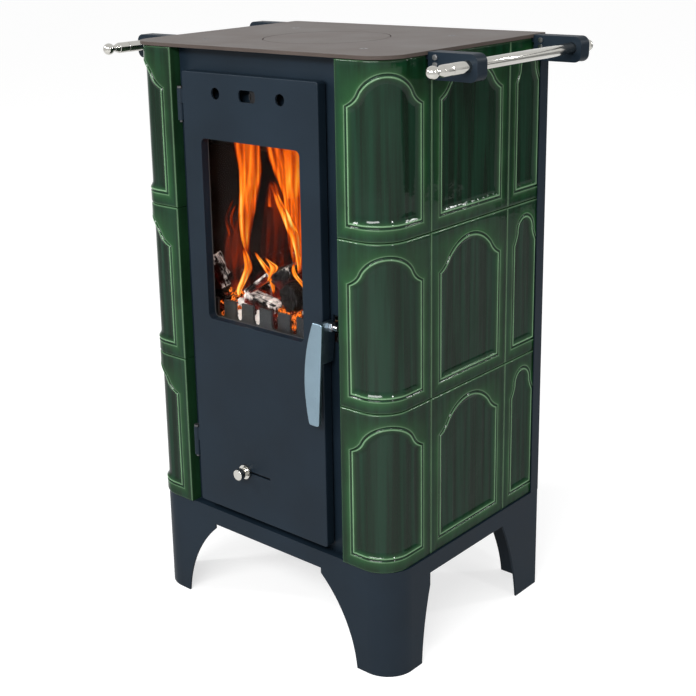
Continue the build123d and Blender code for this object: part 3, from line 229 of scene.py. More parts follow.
def tube_faces(first, rings, around, ends):
    """Faces of a tube of rings, closed on the two middle points that start at ends."""
    faces = []
    for ring in range(rings - 1):
        faces.extend(bridge(first + ring * around, first + (ring + 1) * around, around))
    last = first + (rings - 1) * around
    faces += [(first + (i + 1) % around, first + i, ends) for i in range(around)]
    faces += [(last + i, last + (i + 1) % around, ends + 1) for i in range(around)]
    return faces


def set_floats(mesh, **values):
    """Point attributes of plain numbers."""
    for name, numbers in values.items():
        mesh.attributes.new(name, "FLOAT", "POINT").data.foreach_set("value", numbers)


def fractal(point, scale, seed, octaves=4):
    """Layered noise at a point, about -1 to 1."""
    value, size, weight = 0.0, scale, 1.0
    for octave in range(octaves):
        spot = Vector((point[0] * size + seed * 7.3, point[1] * size - seed * 3.1,
                       point[2] * size + octave * 5.7))
        value += weight * noise.noise(spot)
        size *= 2.1
        weight *= 0.5
    return value


# ------------------------------------------------------------------------------------------
# Shader helpers
# ------------------------------------------------------------------------------------------

def feed(tree, value, socket):
    """Links an input socket to an output, or sets its plain value or solid colour."""
    if isinstance(value, bpy.types.NodeSocket):
        tree.links.new(value, socket)
    elif socket.type == "RGBA":
        socket.default_value = (*value[:3], 1.0)
    else:
        socket.default_value = value


def number(tree, operation, first, second=None, clamp=False):
    """Output of a math node added to a tree, for numbers or sockets."""
    made = tree.nodes.new("ShaderNodeMath")
    made.operation = operation
    made.use_clamp = clamp
    feed(tree, first, made.inputs[0])
    if second is not None:
        feed(tree, second, made.inputs[1])
    return made.outputs[0]


class Shader:
    """One material with a Principled shader, and short ways to add nodes to it."""

    def __init__(self, name):
        self.material = bpy.data.materials.new(name)
        self.material.use_nodes = True
        self.tree = self.material.node_tree
        self.tree.nodes.clear()
        self.output = self.tree.nodes.new("ShaderNodeOutputMaterial")
        self.shader = self.tree.nodes.new("ShaderNodeBsdfPrincipled")
        self.link(self.shader.outputs[0], self.output.inputs["Surface"])

    def link(self, out, into):
        """Links an output to an input."""
        self.tree.links.new(out, into)

    def set(self, **values):
        """Fills inputs of the Principled shader, named with _ for each space."""
        for key, value in values.items():
            feed(self.tree, value, self.shader.inputs[key.replace("_", " ")])

    def node(self, kind, inputs=None, **settings):
        """Adds a node with its settings and inputs."""
        made = self.tree.nodes.new(kind)
        for key, value in settings.items():
            setattr(made, key, value)
        for key, value in (inputs or {}).items():
            feed(self.tree, value, made.inputs[key])
        return made

    def group(self, name, output, **inputs):
        """One output of a shared node group, or the whole group node if output is None."""
        made = self.tree.nodes.new("ShaderNodeGroup")
        made.node_tree = bpy.data.node_groups[name]
        for key, value in inputs.items():
            feed(self.tree, value, made.inputs[key.replace("_", " ")])
        return made.outputs[output] if output else made

    def place(self):
        """Object coordinates."""
        return self.node("ShaderNodeTexCoord").outputs["Object"]

    def attribute(self, name):
        """Number that the mesh holds at each point."""
        return self.node("ShaderNodeAttribute", attribute_name=name).outputs["Fac"]

    def mix(self, factor, first, second):
        """Colour between two colours or sockets."""
        made = self.node("ShaderNodeMix", data_type="RGBA")
        # sockets of the colour form of this node: factor, first and second colour
        for index, value in ((0, factor), (6, first), (7, second)):
            feed(self.tree, value, made.inputs[index])
        return made.outputs[2]

    def math(self, operation, first, second=None, clamp=False):
        """Output of a math node."""
        return number(self.tree, operation, first, second, clamp)

    def span(self, value, low, high, to_low=0.0, to_high=1.0):
        """Value stretched from one range to another and kept inside it."""
        made = self.node("ShaderNodeMapRange", {"Value": value, "From Min": low,
                                                "From Max": high, "To Min": to_low,
                                                "To Max": to_high})
        return made.outputs[0]

    def gloss(self, square, slanting):
        """Strength of the reflections, seen square on and seen at a slant."""
        facing = self.node("ShaderNodeLayerWeight", {"Blend": 0.5}).outputs["Facing"]
        return self.span(facing, 0.1, 0.55, square, slanting)

    def bump(self, height, distance, strength=1.0, normal=None):
        """Normal tilted by a height, over another normal if given."""
        made = self.node("ShaderNodeBump", {"Height": height, "Distance": distance,
                                            "Strength": strength})
        if normal is not None:
            self.link(normal, made.inputs["Normal"])
        return made.outputs[0]


def group_tree(name, inputs, outputs):
    """Empty shader node group with named sockets."""
    tree = bpy.data.node_groups.new(name, "ShaderNodeTree")
    for socket, kind, value in inputs:
        made = tree.interface.new_socket(socket, in_out="INPUT", socket_type=kind)
        if value is not None:
            made.default_value = value
    for socket, kind in outputs:
        tree.interface.new_socket(socket, in_out="OUTPUT", socket_type=kind)
    return tree, tree.nodes.new("NodeGroupInput"), tree.nodes.new("NodeGroupOutput")


def make_grain_group():
    """Fine grain: a height and a soft variation, at a given grain size."""
    tree, source, sink = group_tree(
        "fine_grain",
        [("Place", "NodeSocketVector", None), ("Grain Size", "NodeSocketFloat", 0.0006),
         ("Cloud Size", "NodeSocketFloat", 0.08)],
        [("Height", "NodeSocketFloat"), ("Cloud", "NodeSocketFloat")])
    for size_name, out_name, detail in (("Grain Size", "Height", 2.0),
                                        ("Cloud Size", "Cloud", 5.0)):
        scale = number(tree, "DIVIDE", 1.0, source.outputs[size_name])
        grain = tree.nodes.new("ShaderNodeTexNoise")
        grain.inputs["Detail"].default_value = detail
        tree.links.new(source.outputs["Place"], grain.inputs["Vector"])
        tree.links.new(scale, grain.inputs["Scale"])
        tree.links.new(grain.outputs["Fac"], sink.inputs[out_name])


def make_streak_group():
    """Streaks along Z: noise stretched upwards, with its own width and length."""
    tree, source, sink = group_tree(
        "upright_streaks",
        [("Place", "NodeSocketVector", None), ("Width", "NodeSocketFloat", 0.01),
         ("Length", "NodeSocketFloat", 0.1), ("Distortion", "NodeSocketFloat", 0.3)],
        [("Streak", "NodeSocketFloat")])
    split = tree.nodes.new("ShaderNodeSeparateXYZ")
    join = tree.nodes.new("ShaderNodeCombineXYZ")
    tree.links.new(source.outputs["Place"], split.inputs[0])
    for axis, size in (("X", "Width"), ("Y", "Width"), ("Z", "Length")):
        over = number(tree, "DIVIDE", split.outputs[axis], source.outputs[size])
        tree.links.new(over, join.inputs[axis])
    streak = tree.nodes.new("ShaderNodeTexNoise")
    streak.inputs["Scale"].default_value = 1.0
    streak.inputs["Detail"].default_value = 3.0
    tree.links.new(join.outputs[0], streak.inputs["Vector"])
    tree.links.new(source.outputs["Distortion"], streak.inputs["Distortion"])
    tree.links.new(streak.outputs["Fac"], sink.inputs["Streak"])


def make_soft_edge_group():
    """Normal with small rounded edges, and a mask of where those edges are."""
    tree, source, sink = group_tree(
        "soft_edges",
        [("Radius", "NodeSocketFloat", 0.0008)],
        [("Normal", "NodeSocketVector"), ("Edge", "NodeSocketFloat")])
    bevel = tree.nodes.new("ShaderNodeBevel")
    bevel.samples = 4
    tree.links.new(source.outputs["Radius"], bevel.inputs["Radius"])
    shape = tree.nodes.new("ShaderNodeNewGeometry")
    dot = tree.nodes.new("ShaderNodeVectorMath")
    dot.operation = "DOT_PRODUCT"
    tree.links.new(bevel.outputs[0], dot.inputs[0])
    tree.links.new(shape.outputs["Normal"], dot.inputs[1])
    edge = tree.nodes.new("ShaderNodeMapRange")
    edge.inputs["From Min"].default_value = 0.98
    edge.inputs["From Max"].default_value = 0.75
    tree.links.new(dot.outputs["Value"], edge.inputs["Value"])
    tree.links.new(bevel.outputs[0], sink.inputs["Normal"])
    tree.links.new(edge.outputs[0], sink.inputs["Edge"])


# ------------------------------------------------------------------------------------------
# Materials
# ------------------------------------------------------------------------------------------

def glaze_material(settings):
    """Green transparent glaze: pale on ridges, dark and deep in grooves and fields."""
    slanting_share = 0.13
    m = Shader("green_glaze")
    place = m.place()
    relief = m.attribute("thin_glaze")
    field = m.attribute("field")
    cloud = m.group("fine_grain", "Cloud", Place=place, Grain_Size=0.002, Cloud_Size=0.06)
    run = m.group("upright_streaks", "Streak", Place=place, Width=0.012, Length=0.30,
                  Distortion=0.35)
    margin = m.mix(m.span(cloud, 0.35, 0.7), tuple(c * 0.6 for c in settings.margin),
                   tuple(c * 1.5 for c in settings.margin))
    pooled = m.mix(m.span(run, 0.40, 0.62), tuple(c * 0.65 for c in settings.deep),
                   settings.pale)
    body = m.mix(m.span(field, 0.0, 1.0), margin, pooled)
    ridge = m.math("MULTIPLY", relief, m.span(cloud, 0.25, 0.6, 0.7, 1.0), clamp=True)
    colour = m.mix(ridge, body, settings.thin)
    normal = m.bump(run, 0.0009, 0.5)
    # slow waves and fine dimples of the glaze: scale of the noise, and height
    for scale, height in ((22.0, 0.0016), (150.0, 0.00018)):
        ripple = m.node("ShaderNodeTexNoise", {"Vector": place, "Scale": scale, "Detail": 1.0})
        normal = m.bump(ripple.outputs["Fac"], height, 0.5, normal)
    m.set(Base_Color=colour, Normal=normal, IOR=1.5,
          Roughness=m.span(cloud, 0.2, 0.8, settings.roughness * 0.6,
                           settings.roughness * 1.4),
          Specular_IOR_Level=m.gloss(settings.shine, settings.shine * slanting_share))
    return m.material


def paint_material(name, colour, roughness, grain, worn=(0.06, 0.065, 0.07), wear=0.3,
                   depth=0.00006):
    """Satin heat-proof paint with fine grain, rubbed along its edges."""
    m = Shader(name)
    place = m.place()
    parts = m.group("fine_grain", None, Place=place, Grain_Size=grain, Cloud_Size=0.11)
    edges = m.group("soft_edges", None, Radius=0.0009)
    rub = m.math("MULTIPLY", edges.outputs["Edge"],
                 m.span(parts.outputs["Cloud"], 0.42, 0.62, 0.15, wear), clamp=True)
    tone = m.mix(m.span(parts.outputs["Cloud"], 0.3, 0.7), tuple(c * 0.86 for c in colour),
                 tuple(c * 1.18 for c in colour))
    m.set(Base_Color=m.mix(rub, tone, worn),
          Roughness=m.span(parts.outputs["Cloud"], 0.3, 0.7, roughness * 0.9,
                           roughness * 1.12),
          Normal=m.bump(parts.outputs["Height"], depth, 0.5, edges.outputs["Normal"]),
          IOR=1.5, Specular_IOR_Level=m.gloss(0.16, 0.05))
    return m.material


def metal_material(name, colour, roughness, brush=None, grain=0.0004):
    """Bare metal, polished or brushed along an axis given as stretch factors."""
    m = Shader(name)
    place = m.place()
    edges = m.group("soft_edges", None, Radius=0.0005)
    cloud = m.group("fine_grain", "Cloud", Place=place, Grain_Size=grain, Cloud_Size=0.03)
    if brush:
        stretched = m.node("ShaderNodeVectorMath", {0: place, 1: brush},
                           operation="MULTIPLY").outputs[0]
        lines = m.node("ShaderNodeTexNoise", {"Vector": stretched, "Scale": 1.0,
                                              "Detail": 2.0}).outputs["Fac"]
        bump = m.bump(lines, 0.00004, 0.6, edges.outputs["Normal"])
        rough = m.span(lines, 0.3, 0.7, roughness * 0.8, roughness * 1.25)
    else:
        bump = edges.outputs["Normal"]
        rough = m.span(cloud, 0.35, 0.7, roughness * 0.7, roughness * 1.5)
    tone = m.mix(m.span(cloud, 0.35, 0.7), tuple(c * 0.92 for c in colour), colour)
    m.set(Base_Color=tone, Roughness=rough, Normal=bump, Metallic=1.0)
    return m.material


def brick_material():
    """Fired clay, rough, and blacker with smoke the higher it is."""
    m = Shader("smoked_firebrick")
    place = m.place()
    parts = m.group("fine_grain", None, Place=place, Grain_Size=0.0018, Cloud_Size=0.06)
    height = m.node("ShaderNodeSeparateXYZ", {0: place}).outputs["Z"]
    soot = m.math("ADD", m.span(height, 0.47, 0.62, 0.35, 1.0),
                  m.span(parts.outputs["Cloud"], 0.3, 0.7, -0.25, 0.3), clamp=True)
    colour = m.mix(soot, (0.050, 0.037, 0.027), (0.004, 0.0035, 0.003))
    m.set(Base_Color=colour, Roughness=0.95,
          Normal=m.bump(parts.outputs["Height"], 0.0012, 0.8))
    return m.material


def iron_material():
    """Cast iron, dull and slightly rusty, with ash dust on it."""
    m = Shader("cast_iron")
    place = m.place()
    parts = m.group("fine_grain", None, Place=place, Grain_Size=0.0011, Cloud_Size=0.035)
    colour = m.mix(m.span(parts.outputs["Cloud"], 0.45, 0.75), (0.035, 0.040, 0.046),
                   (0.060, 0.052, 0.045))
    m.set(Base_Color=colour, Roughness=0.7, Metallic=0.3,
          Normal=m.bump(parts.outputs["Height"], 0.0005, 0.7))
    return m.material


def glass_material():
    """Clear glass ceramic, with the faintest warm tint."""
    m = Shader("fire_glass")
    place = m.place()
    cloud = m.group("fine_grain", "Cloud", Place=place, Grain_Size=0.002, Cloud_Size=0.05)
    m.set(Base_Color=m.mix(m.span(cloud, 0.3, 0.7), (0.97, 0.96, 0.94), (1.0, 0.99, 0.97)),
          Roughness=m.span(cloud, 0.4, 0.8, 0.0, 0.03), Transmission_Weight=1.0, IOR=1.08)
    return m.material


def rope_material(name, colour):
    """Woven glass fibre: fine yarn across the rope's strands."""
    m = Shader(name)
    place = m.place()
    yarn = m.node("ShaderNodeTexWave", {"Vector": place, "Scale": 260.0, "Distortion": 2.0,
                                        "Detail": 1.0}, wave_type="BANDS",
                  bands_direction="DIAGONAL").outputs["Fac"]
    cloud = m.group("fine_grain", "Cloud", Place=place, Grain_Size=0.0008, Cloud_Size=0.03)
    m.set(Base_Color=m.mix(cloud, tuple(c * 0.7 for c in colour), colour), Roughness=0.95,
          Normal=m.bump(yarn, 0.0003, 0.7), Sheen_Weight=0.2)
    return m.material


def char_material():
    """Charred wood: black, cracked across, with ash along its grain, painted firelight on that
    ash and a glow beneath.
    """
    m = Shader("charred_wood")
    grain = m.node("ShaderNodeAttribute", attribute_name="grain").outputs["Vector"]
    ash = m.attribute("ash")
    glow = m.attribute("glow")
    fibres = m.node("ShaderNodeVectorMath", {0: grain, 1: (260.0, 260.0, 55.0)},
                    operation="MULTIPLY").outputs[0]
    streaks = m.node("ShaderNodeTexNoise", {"Vector": fibres, "Scale": 1.0, "Detail": 4.0,
                                            "Distortion": 0.6}).outputs["Fac"]
    blocks = m.node("ShaderNodeVectorMath", {0: grain, 1: (75.0, 75.0, 120.0)},
                    operation="MULTIPLY").outputs[0]
    edges = m.node("ShaderNodeTexVoronoi", {"Vector": blocks, "Scale": 1.0,
                                            "Randomness": 0.8},
                   feature="DISTANCE_TO_EDGE").outputs["Distance"]
    cloud = m.group("fine_grain", "Cloud", Place=grain, Grain_Size=0.002, Cloud_Size=0.014)
    crack = m.span(edges, 0.0, 0.06, 1.0, 0.0)
    worn = m.math("ADD", m.math("MULTIPLY", streaks, 0.6), m.math("MULTIPLY", cloud, 0.5))
    flake = m.span(m.math("ADD", worn, m.math("MULTIPLY", ash, 0.42)), 0.80, 0.93)
    flake = m.math("MULTIPLY", flake, m.span(crack, 0.0, 1.0, 1.0, 0.55), clamp=True)
    coal = m.mix(m.span(streaks, 0.3, 0.7), (0.001, 0.001, 0.0015), (0.010, 0.009, 0.009))
    pale = m.mix(m.span(cloud, 0.35, 0.65), (0.36, 0.31, 0.30), (0.92, 0.88, 0.86))
    heat = m.math("MULTIPLY", glow, m.span(cloud, 0.38, 0.62), clamp=True)
    fire = m.mix(m.span(heat, 0.25, 0.9), (0.42, 0.012, 0.002), (1.0, 0.22, 0.015))
    # painted firelight: where the wood is not hot, the pale ash flakes give off a faint light
    # as if the fire lit them
    firelight = m.mix(flake, (0.0, 0.0, 0.0), (0.20, 0.165, 0.15))
    height = m.math("SUBTRACT", streaks, m.math("MULTIPLY", crack, 0.7))
    m.set(Base_Color=m.mix(flake, coal, pale), Roughness=m.span(flake, 0.0, 1.0, 0.55, 0.95),
          Normal=m.bump(height, 0.002, 0.9), Specular_IOR_Level=0.08,
          Emission_Color=m.mix(heat, firelight, fire), Emission_Strength=1.15)
    return m.material


def ash_material():
    """Soft pale ash, faintly bright as if lit by the fire."""
    m = Shader("pale_ash")
    place = m.place()
    parts = m.group("fine_grain", None, Place=place, Grain_Size=0.0012, Cloud_Size=0.01)
    m.set(Base_Color=m.mix(parts.outputs["Cloud"], (0.30, 0.28, 0.27), (0.82, 0.80, 0.78)),
          Roughness=0.95, Normal=m.bump(parts.outputs["Height"], 0.0008, 0.8),
          Emission_Color=(1.0, 0.90, 0.84), Emission_Strength=0.32, Specular_IOR_Level=0.1)
    return m.material


def flame_material(settings):
    """Flame: see-through where it is cool, dark red, orange and yellow as it gets hotter."""
    m = Shader("flame")
    place = m.place()
    rim = m.attribute("rim")
    heat = m.attribute("hotness")
    wide = m.group("upright_streaks", "Streak", Place=place, Width=0.013, Length=0.16,
                   Distortion=0.5)
    thin = m.group("upright_streaks", "Streak", Place=place, Width=0.0045, Length=0.10,
                   Distortion=0.2)
    streak = m.math("ADD", m.math("MULTIPLY", wide, 0.6), m.math("MULTIPLY", thin, 0.4))
    hot = m.math("MULTIPLY", heat, m.span(streak, 0.32, 0.62, 0.62, 1.18))
    hot = m.math("MULTIPLY", hot, m.math("SUBTRACT", 1.0, m.math("POWER", rim, 3.0)))
    colour = (0.050, 0.004, 0.003)
    for low, high, hotter in ((0.08, 0.30, (0.34, 0.026, 0.002)),
                              (0.28, 0.56, (0.86, 0.125, 0.004)),
                              (0.54, 0.86, (1.0, 0.33, 0.020)),
                              (0.86, 1.15, (1.0, 0.72, 0.17))):
        colour = m.mix(m.span(hot, low, high), colour, hotter)
    m.set(Base_Color=(0.0, 0.0, 0.0), Roughness=1.0, Specular_IOR_Level=0.0,
          Alpha=m.span(hot, 0.03, 0.50), Emission_Color=colour,
          Emission_Strength=settings.glow)
    return m.material


# ------------------------------------------------------------------------------------------
# Tiles
# ------------------------------------------------------------------------------------------

# Arched relief, measured from a tile's lower edge, in metres
relief_bottom = 0.022
relief_shoulder = 0.177
relief_spring = 0.195
relief_peak = 0.2175
spring_share = 0.704
shoulder_sagitta = 0.0022
side_steps, shoulder_steps, arch_steps = 22, 8, 16

# Scoop from the arched field up to its bead, in metres
scoop_end = 0.0022
scoop_width = 0.0076
scoop_steps = 10

# Half widths of the arched fields and places of their middles, in metres
corner_half = 0.0495
corner_shift = 0.005
flat_fields = {"side": (0.071, 0.192), "half": (0.028, 0.333)}
field_columns = 24


def arc_points(start, end, sagitta, count):
    """Points on an arc from start to end, without start, bulging left of the way by sagitta."""
    (u0, z0), (u1, z1) = start, end
    chord = math.hypot(u1 - u0, z1 - z0)
    half_turn = 2 * math.atan2(2 * sagitta, chord)
    radius = chord / 2 / math.sin(half_turn)
    middle = ((u0 + u1) / 2, (z0 + z1) / 2)
    left = (-(z1 - z0) / chord, (u1 - u0) / chord)
    drop = radius * math.cos(half_turn)
    centre = (middle[0] - left[0] * drop, middle[1] - left[1] * drop)
    first = math.atan2(z0 - centre[1], u0 - centre[0])
    turns = [first - 2 * half_turn * i / count for i in range(1, count + 1)]
    return [(centre[0] + abs(radius) * math.cos(a), centre[1] + abs(radius) * math.sin(a))
            for a in turns]


def arched_ring(half, grow):
    """Closed panel outline grown outwards, counter-clockwise from its lower left corner.

    half is half the panel's width. Its sides rise to hollow shoulders and a round arch.
    """
    spring = half * spring_share
    turn = 2 * math.atan2(relief_peak - relief_spring, spring)
    slope = math.atan2(relief_spring - relief_shoulder, half - spring)
    edge = half + grow
    low = relief_bottom - grow
    shoulder = relief_shoulder + grow * (1 - math.sin(slope)) / math.cos(slope)
    spring_at = (spring + grow * math.sin(turn), relief_spring + grow * math.cos(turn))
    peak = (0.0, relief_peak + grow)
    bottom = [(-edge + 2 * edge * i / field_columns, low) for i in range(field_columns)]
    right = [(edge, low + (shoulder - low) * i / side_steps) for i in range(side_steps + 1)]
    hollow = shoulder_sagitta * min(1.0, half / corner_half) ** 2
    right += arc_points((edge, shoulder), spring_at, hollow, shoulder_steps)
    chord = math.hypot(spring_at[0], peak[1] - spring_at[1])
    drop = peak[1] - spring_at[1]
    radius = chord ** 2 / (2 * drop)
    swing = 2 * math.atan2(drop, spring_at[0])
    right += [(radius * math.sin(swing * (1 - i / arch_steps)),
               peak[1] - radius + radius * math.cos(swing * (1 - i / arch_steps)))
              for i in range(1, arch_steps)]
    left = [(-u, z) for u, z in reversed(right)]
    return bottom + right + [peak] + left[:-1]


def relief_profile(settings):
    """Rings across the relief: offset, depth under the margin, thin glaze, field mask."""
    field, bead, groove = settings.field_depth, settings.bead_height, settings.groove_depth
    scoop = []
    # the scoop gets steeper towards the bead, and the glaze on it thinner
    for step in range(scoop_steps + 1):
        t = step / scoop_steps
        scoop.append((-scoop_end - scoop_width * (1 - t), field * (1 - t ** 1.5 * 0.92),
                      0.07 * t ** 4, 1.0 - 0.85 * t ** 2.5))
    return scoop + [
        (-0.0018, -bead * 0.1, 0.55, 0.1),
        (-0.0013, -bead * 0.8, 0.95, 0.0),
        (-0.0007, -bead, 1.00, 0.0),
        (-0.0001, -bead * 0.8, 0.80, 0.0),
        (0.0005, -bead * 0.1, 0.30, 0.1),
        (0.0010, groove * 0.35, 0.05, 0.5),
        (0.0016, groove * 0.80, 0.00, 1.0),
        (0.0022, groove, 0.00, 1.0),
        (0.0028, groove * 0.85, 0.00, 1.0),
        (0.0034, groove * 0.45, 0.00, 0.6),
        (0.0039, groove * 0.08, 0.15, 0.2),
        (0.0044, -bead * 0.40, 0.62, 0.0),
        (0.0049, -bead * 0.50, 0.55, 0.0),
        (0.0056, -bead * 0.2, 0.18, 0.0),
        (0.0068, 0.0, 0.07, 0.05),
        (0.0090, 0.0, 0.04, 0.20),
    ]


def tile_mesh(low, high, ring_at, settings):
    """Vertices (along, up, depth, thin, field) and faces of a tile unrolled flat.

    low and high are the tile's ends along its face, from the middle of its relief, and
    ring_at gives the relief's outline grown by a distance.
    """
    profile = relief_profile(settings)
    count = len(ring_at(0.0))
    side_count = (count - field_columns) // 2
    vertices, faces = [], []
    previous = None

    def add_ring(points, depth, thin, field):
        """Adds a ring of vertices and joins it to the ring before."""
        nonlocal previous
        start = len(vertices)
        vertices.extend((u, z, depth, thin, field) for u, z in points)
        if previous is not None:
            faces.extend(bridge(previous, start, count))
        previous = start

    def fill_ring(first, depth, field, back=False):
        """Fills the ring that starts at first, in rows between its left and right halves."""
        one, other = (1, 0) if back else (0, 1)
        previous_row = [first + i for i in range(field_columns + 1)]
        for row in range(1, side_count):
            left = first + (count - row) % count
            right = first + field_columns + row
            lu, lz = vertices[left][:2]
            ru, rz = vertices[right][:2]
            this_row = [left]
            for i in range(1, field_columns):
                t = i / field_columns
                this_row.append(len(vertices))
                vertices.append((lu + (ru - lu) * t, lz + (rz - lz) * t, depth, 0.0, field))
            this_row.append(right)
            faces.extend((previous_row[i + one], previous_row[i + other],
                          this_row[i + other], this_row[i + one])
                         for i in range(field_columns))
            previous_row = this_row
        peak = first + field_columns + side_count
        faces.extend((previous_row[i + one], previous_row[i + other], peak)
                     for i in range(field_columns))

    def rectangle(inset):
        """As many points as the relief's outline has, spread over the tile's outline."""
        u0, u1, z0, z1 = low + inset, high - inset, inset, tile_height - inset
        points = [None] * count
        for i in range(field_columns + 1):
            points[i] = (u0 + (u1 - u0) * i / field_columns, z0)
        upright = side_steps + shoulder_steps // 2
        for i in range(upright):
            t = (i + 1) / upright
            points[field_columns + 1 + i] = (u1, z0 + (z1 - z0) * t)
            points[count - 1 - i] = (u0, z0 + (z1 - z0) * t)
        top_first = field_columns + upright
        top_last = count - upright
        for i in range(top_first + 1, top_last):
            t = (i - top_first) / (top_last - top_first)
            points[i] = (u1 + (u0 - u1) * t, z1)
        return points

    for offset, depth, thin, field in profile:
        add_ring(ring_at(offset), depth, thin, field)
    fill_ring(0, settings.field_depth, 1.0)

    # margin between the relief and the tile's edge
    edge = settings.edge_radius
    base = ring_at(profile[-1][0])
    frame_ring = rectangle(edge)
    margin_steps = 6
    for step in range(1, margin_steps):
        t = step / margin_steps
        points = [(bu + (fu - bu) * t, bz + (fz - bz) * t)
                  for (bu, bz), (fu, fz) in zip(base, frame_ring)]
        add_ring(points, 0.0, 0.03 * (1 - t), 0.3 + 0.6 * t)
    add_ring(frame_ring, 0.0, 0.03, 0.9)

    # rounded edge, where the glaze is thin, then the walls and the back
    edge_steps = 6
    for step in range(1, edge_steps + 1):
        angle = step / edge_steps * math.pi / 2
        inset, depth = edge * (1 - math.sin(angle)), edge * (1 - math.cos(angle))
        thin = 0.05 + 0.55 * math.sin(angle * 2) ** 6
        add_ring(rectangle(inset), depth, thin, 0.6)
    for depth in (edge * 1.8, tile_depth):
        add_ring(rectangle(0.0), depth, 0.05, 0.6)
    fill_ring(previous, tile_depth, 0.6, back=True)
    return vertices, faces


def corner_path(settings):
    """Function from length along a right corner tile's face and depth to (x, y)."""
    radius = settings.corner_radius
    centre = (glaze_x - radius, glaze_y + radius)
    half_arc = radius * math.pi / 4

    def place(along, depth):
        if along < -half_arc:
            return centre[0] + along + half_arc, glaze_y + depth
        if along > half_arc:
            return glaze_x - depth, centre[1] + along - half_arc
        angle = along / radius + math.pi / 4
        reach = radius - depth
        return centre[0] + reach * math.sin(angle), centre[1] - reach * math.cos(angle)

    return place


def unrolled(diagonal, radius):
    """Length along the corner tile's face for a distance seen along its diagonal."""
    bend = radius * math.sqrt(0.5)
    if abs(diagonal) <= bend:
        return radius * math.asin(diagonal / radius)
    flat = (abs(diagonal) - bend) * math.sqrt(2)
    return math.copysign(radius * math.pi / 4 + flat, diagonal)


def tile_object(name, vertices, faces, place, material):
    """Tile object from unrolled vertices, set on the stove by place(along, up, depth)."""
    mesh = new_mesh(name, [place(u, z, d) for u, z, d, _, _ in vertices], faces)
    set_floats(mesh, thin_glaze=[v[3] for v in vertices], field=[v[4] for v in vertices])
    return body_piece(name, mesh, material, math.radians(50))


class STOVE_OT_glazed_tiles(bpy.types.Operator):
    """Make the corner, side and half tiles with their rounded relief and glaze"""

    bl_idname = "stove.glazed_tiles"
    bl_label = "Glazed tiles"

    def execute(self, context):
        settings = context.scene.stove_glaze
        material = glaze_material(settings)
        radius = settings.corner_radius
        corner_place = corner_path(settings)
        half_arc = radius * math.pi / 4
        for side_name, side in sides:
            for row in rows:
                for kind in ("corner", "side", "half"):
                    node = f"{side_name}_{kind}_tile_{row}"
                    low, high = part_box(node)
                    floor_z = low.z
                    if kind == "corner":
                        def ring_at(grow):
                            flat = arched_ring(corner_half, 0.0)
                            grown = arched_ring(corner_half, grow)
                            return [(unrolled(u0 + corner_shift, radius) + u - u0, z)
                                    for (u0, _), (u, z) in zip(flat, grown)]

                        start = -half_arc - (glaze_x - radius - panel_edge_x)
                        end = half_arc + corner_end_y - (glaze_y + radius)

                        def place(u, z, d):
                            x, y = corner_place(u, d)
                            return side * x, y, floor_z + z
                    else:
                        half, behind_front = flat_fields[kind]
                        middle = glaze_y + behind_front

                        def ring_at(grow):
                            return arched_ring(half, grow)

                        start, end = low.y - middle, high.y - middle

                        def place(u, z, d):
                            return side * (glaze_x - d), middle + u, floor_z + z

                    vertices, faces = tile_mesh(start, end, ring_at, settings)
                    tile = tile_object(f"glazed_{node}", vertices, faces, place, material)
                    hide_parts(node)
        return {"FINISHED"}


# ------------------------------------------------------------------------------------------
# Finishes on the CAD nodes
# ------------------------------------------------------------------------------------------

def finish_nodes(names, material):
    """Gives CAD nodes that stay in view their one material."""
    for name in names:
        mesh = nodes[name].data
        mesh.materials.clear()
        mesh.materials.append(material)


class STOVE_OT_painted_steel(bpy.types.Operator):
    """Give the base, door, panels, hinges, brackets, casing and top plate their paint"""

    bl_idname = "stove.painted_steel"
    bl_label = "Painted steel"

    def execute(self, context):
        s = context.scene.stove_steel
        paint = paint_material("dark_steel_paint", s.paint, s.roughness, s.grain)
        finish_nodes(["base_frame", "front_panel", "rear_panel", "left_upright",
                      "right_upright", "door_panel", "door_liner", "hinge_frame_halves",
                      "hinge_door_halves", "rail_brackets", "rail_tongues"], paint)
        black = paint_material("heat_proof_black", (0.010, 0.010, 0.0105), 0.6, s.grain)
        finish_nodes(["casing_shell", "casing_front", "casing_floors", "flue_collar",
                      "latch_catch", "tile_clips", "ash_pan", "air_slide",
                      "air_wash_slide"], black)
        plate = paint_material("top_plate_paint", s.plate, s.roughness * 0.9, s.grain * 1.3,
                               worn=(0.14, 0.13, 0.125), wear=0.5)
        finish_nodes(["top_plate", "top_lid"], plate)
        return {"FINISHED"}


def turned_piece(points, faces, centre_x, centre_z, profile, steps=64):
    """Adds a body turned about an axis along Y to points and faces; profile is (y, radius)."""
    first = len(points)
    for y, radius in profile:
        for i in range(steps):
            a = math.tau * i / steps
            points.append((centre_x + radius * math.cos(a), y, centre_z + radius * math.sin(a)))
    faces.extend(tube_faces(first, len(profile), steps, len(points)))
    points.append((centre_x, profile[0][0], centre_z))
    points.append((centre_x, profile[-1][0], centre_z))


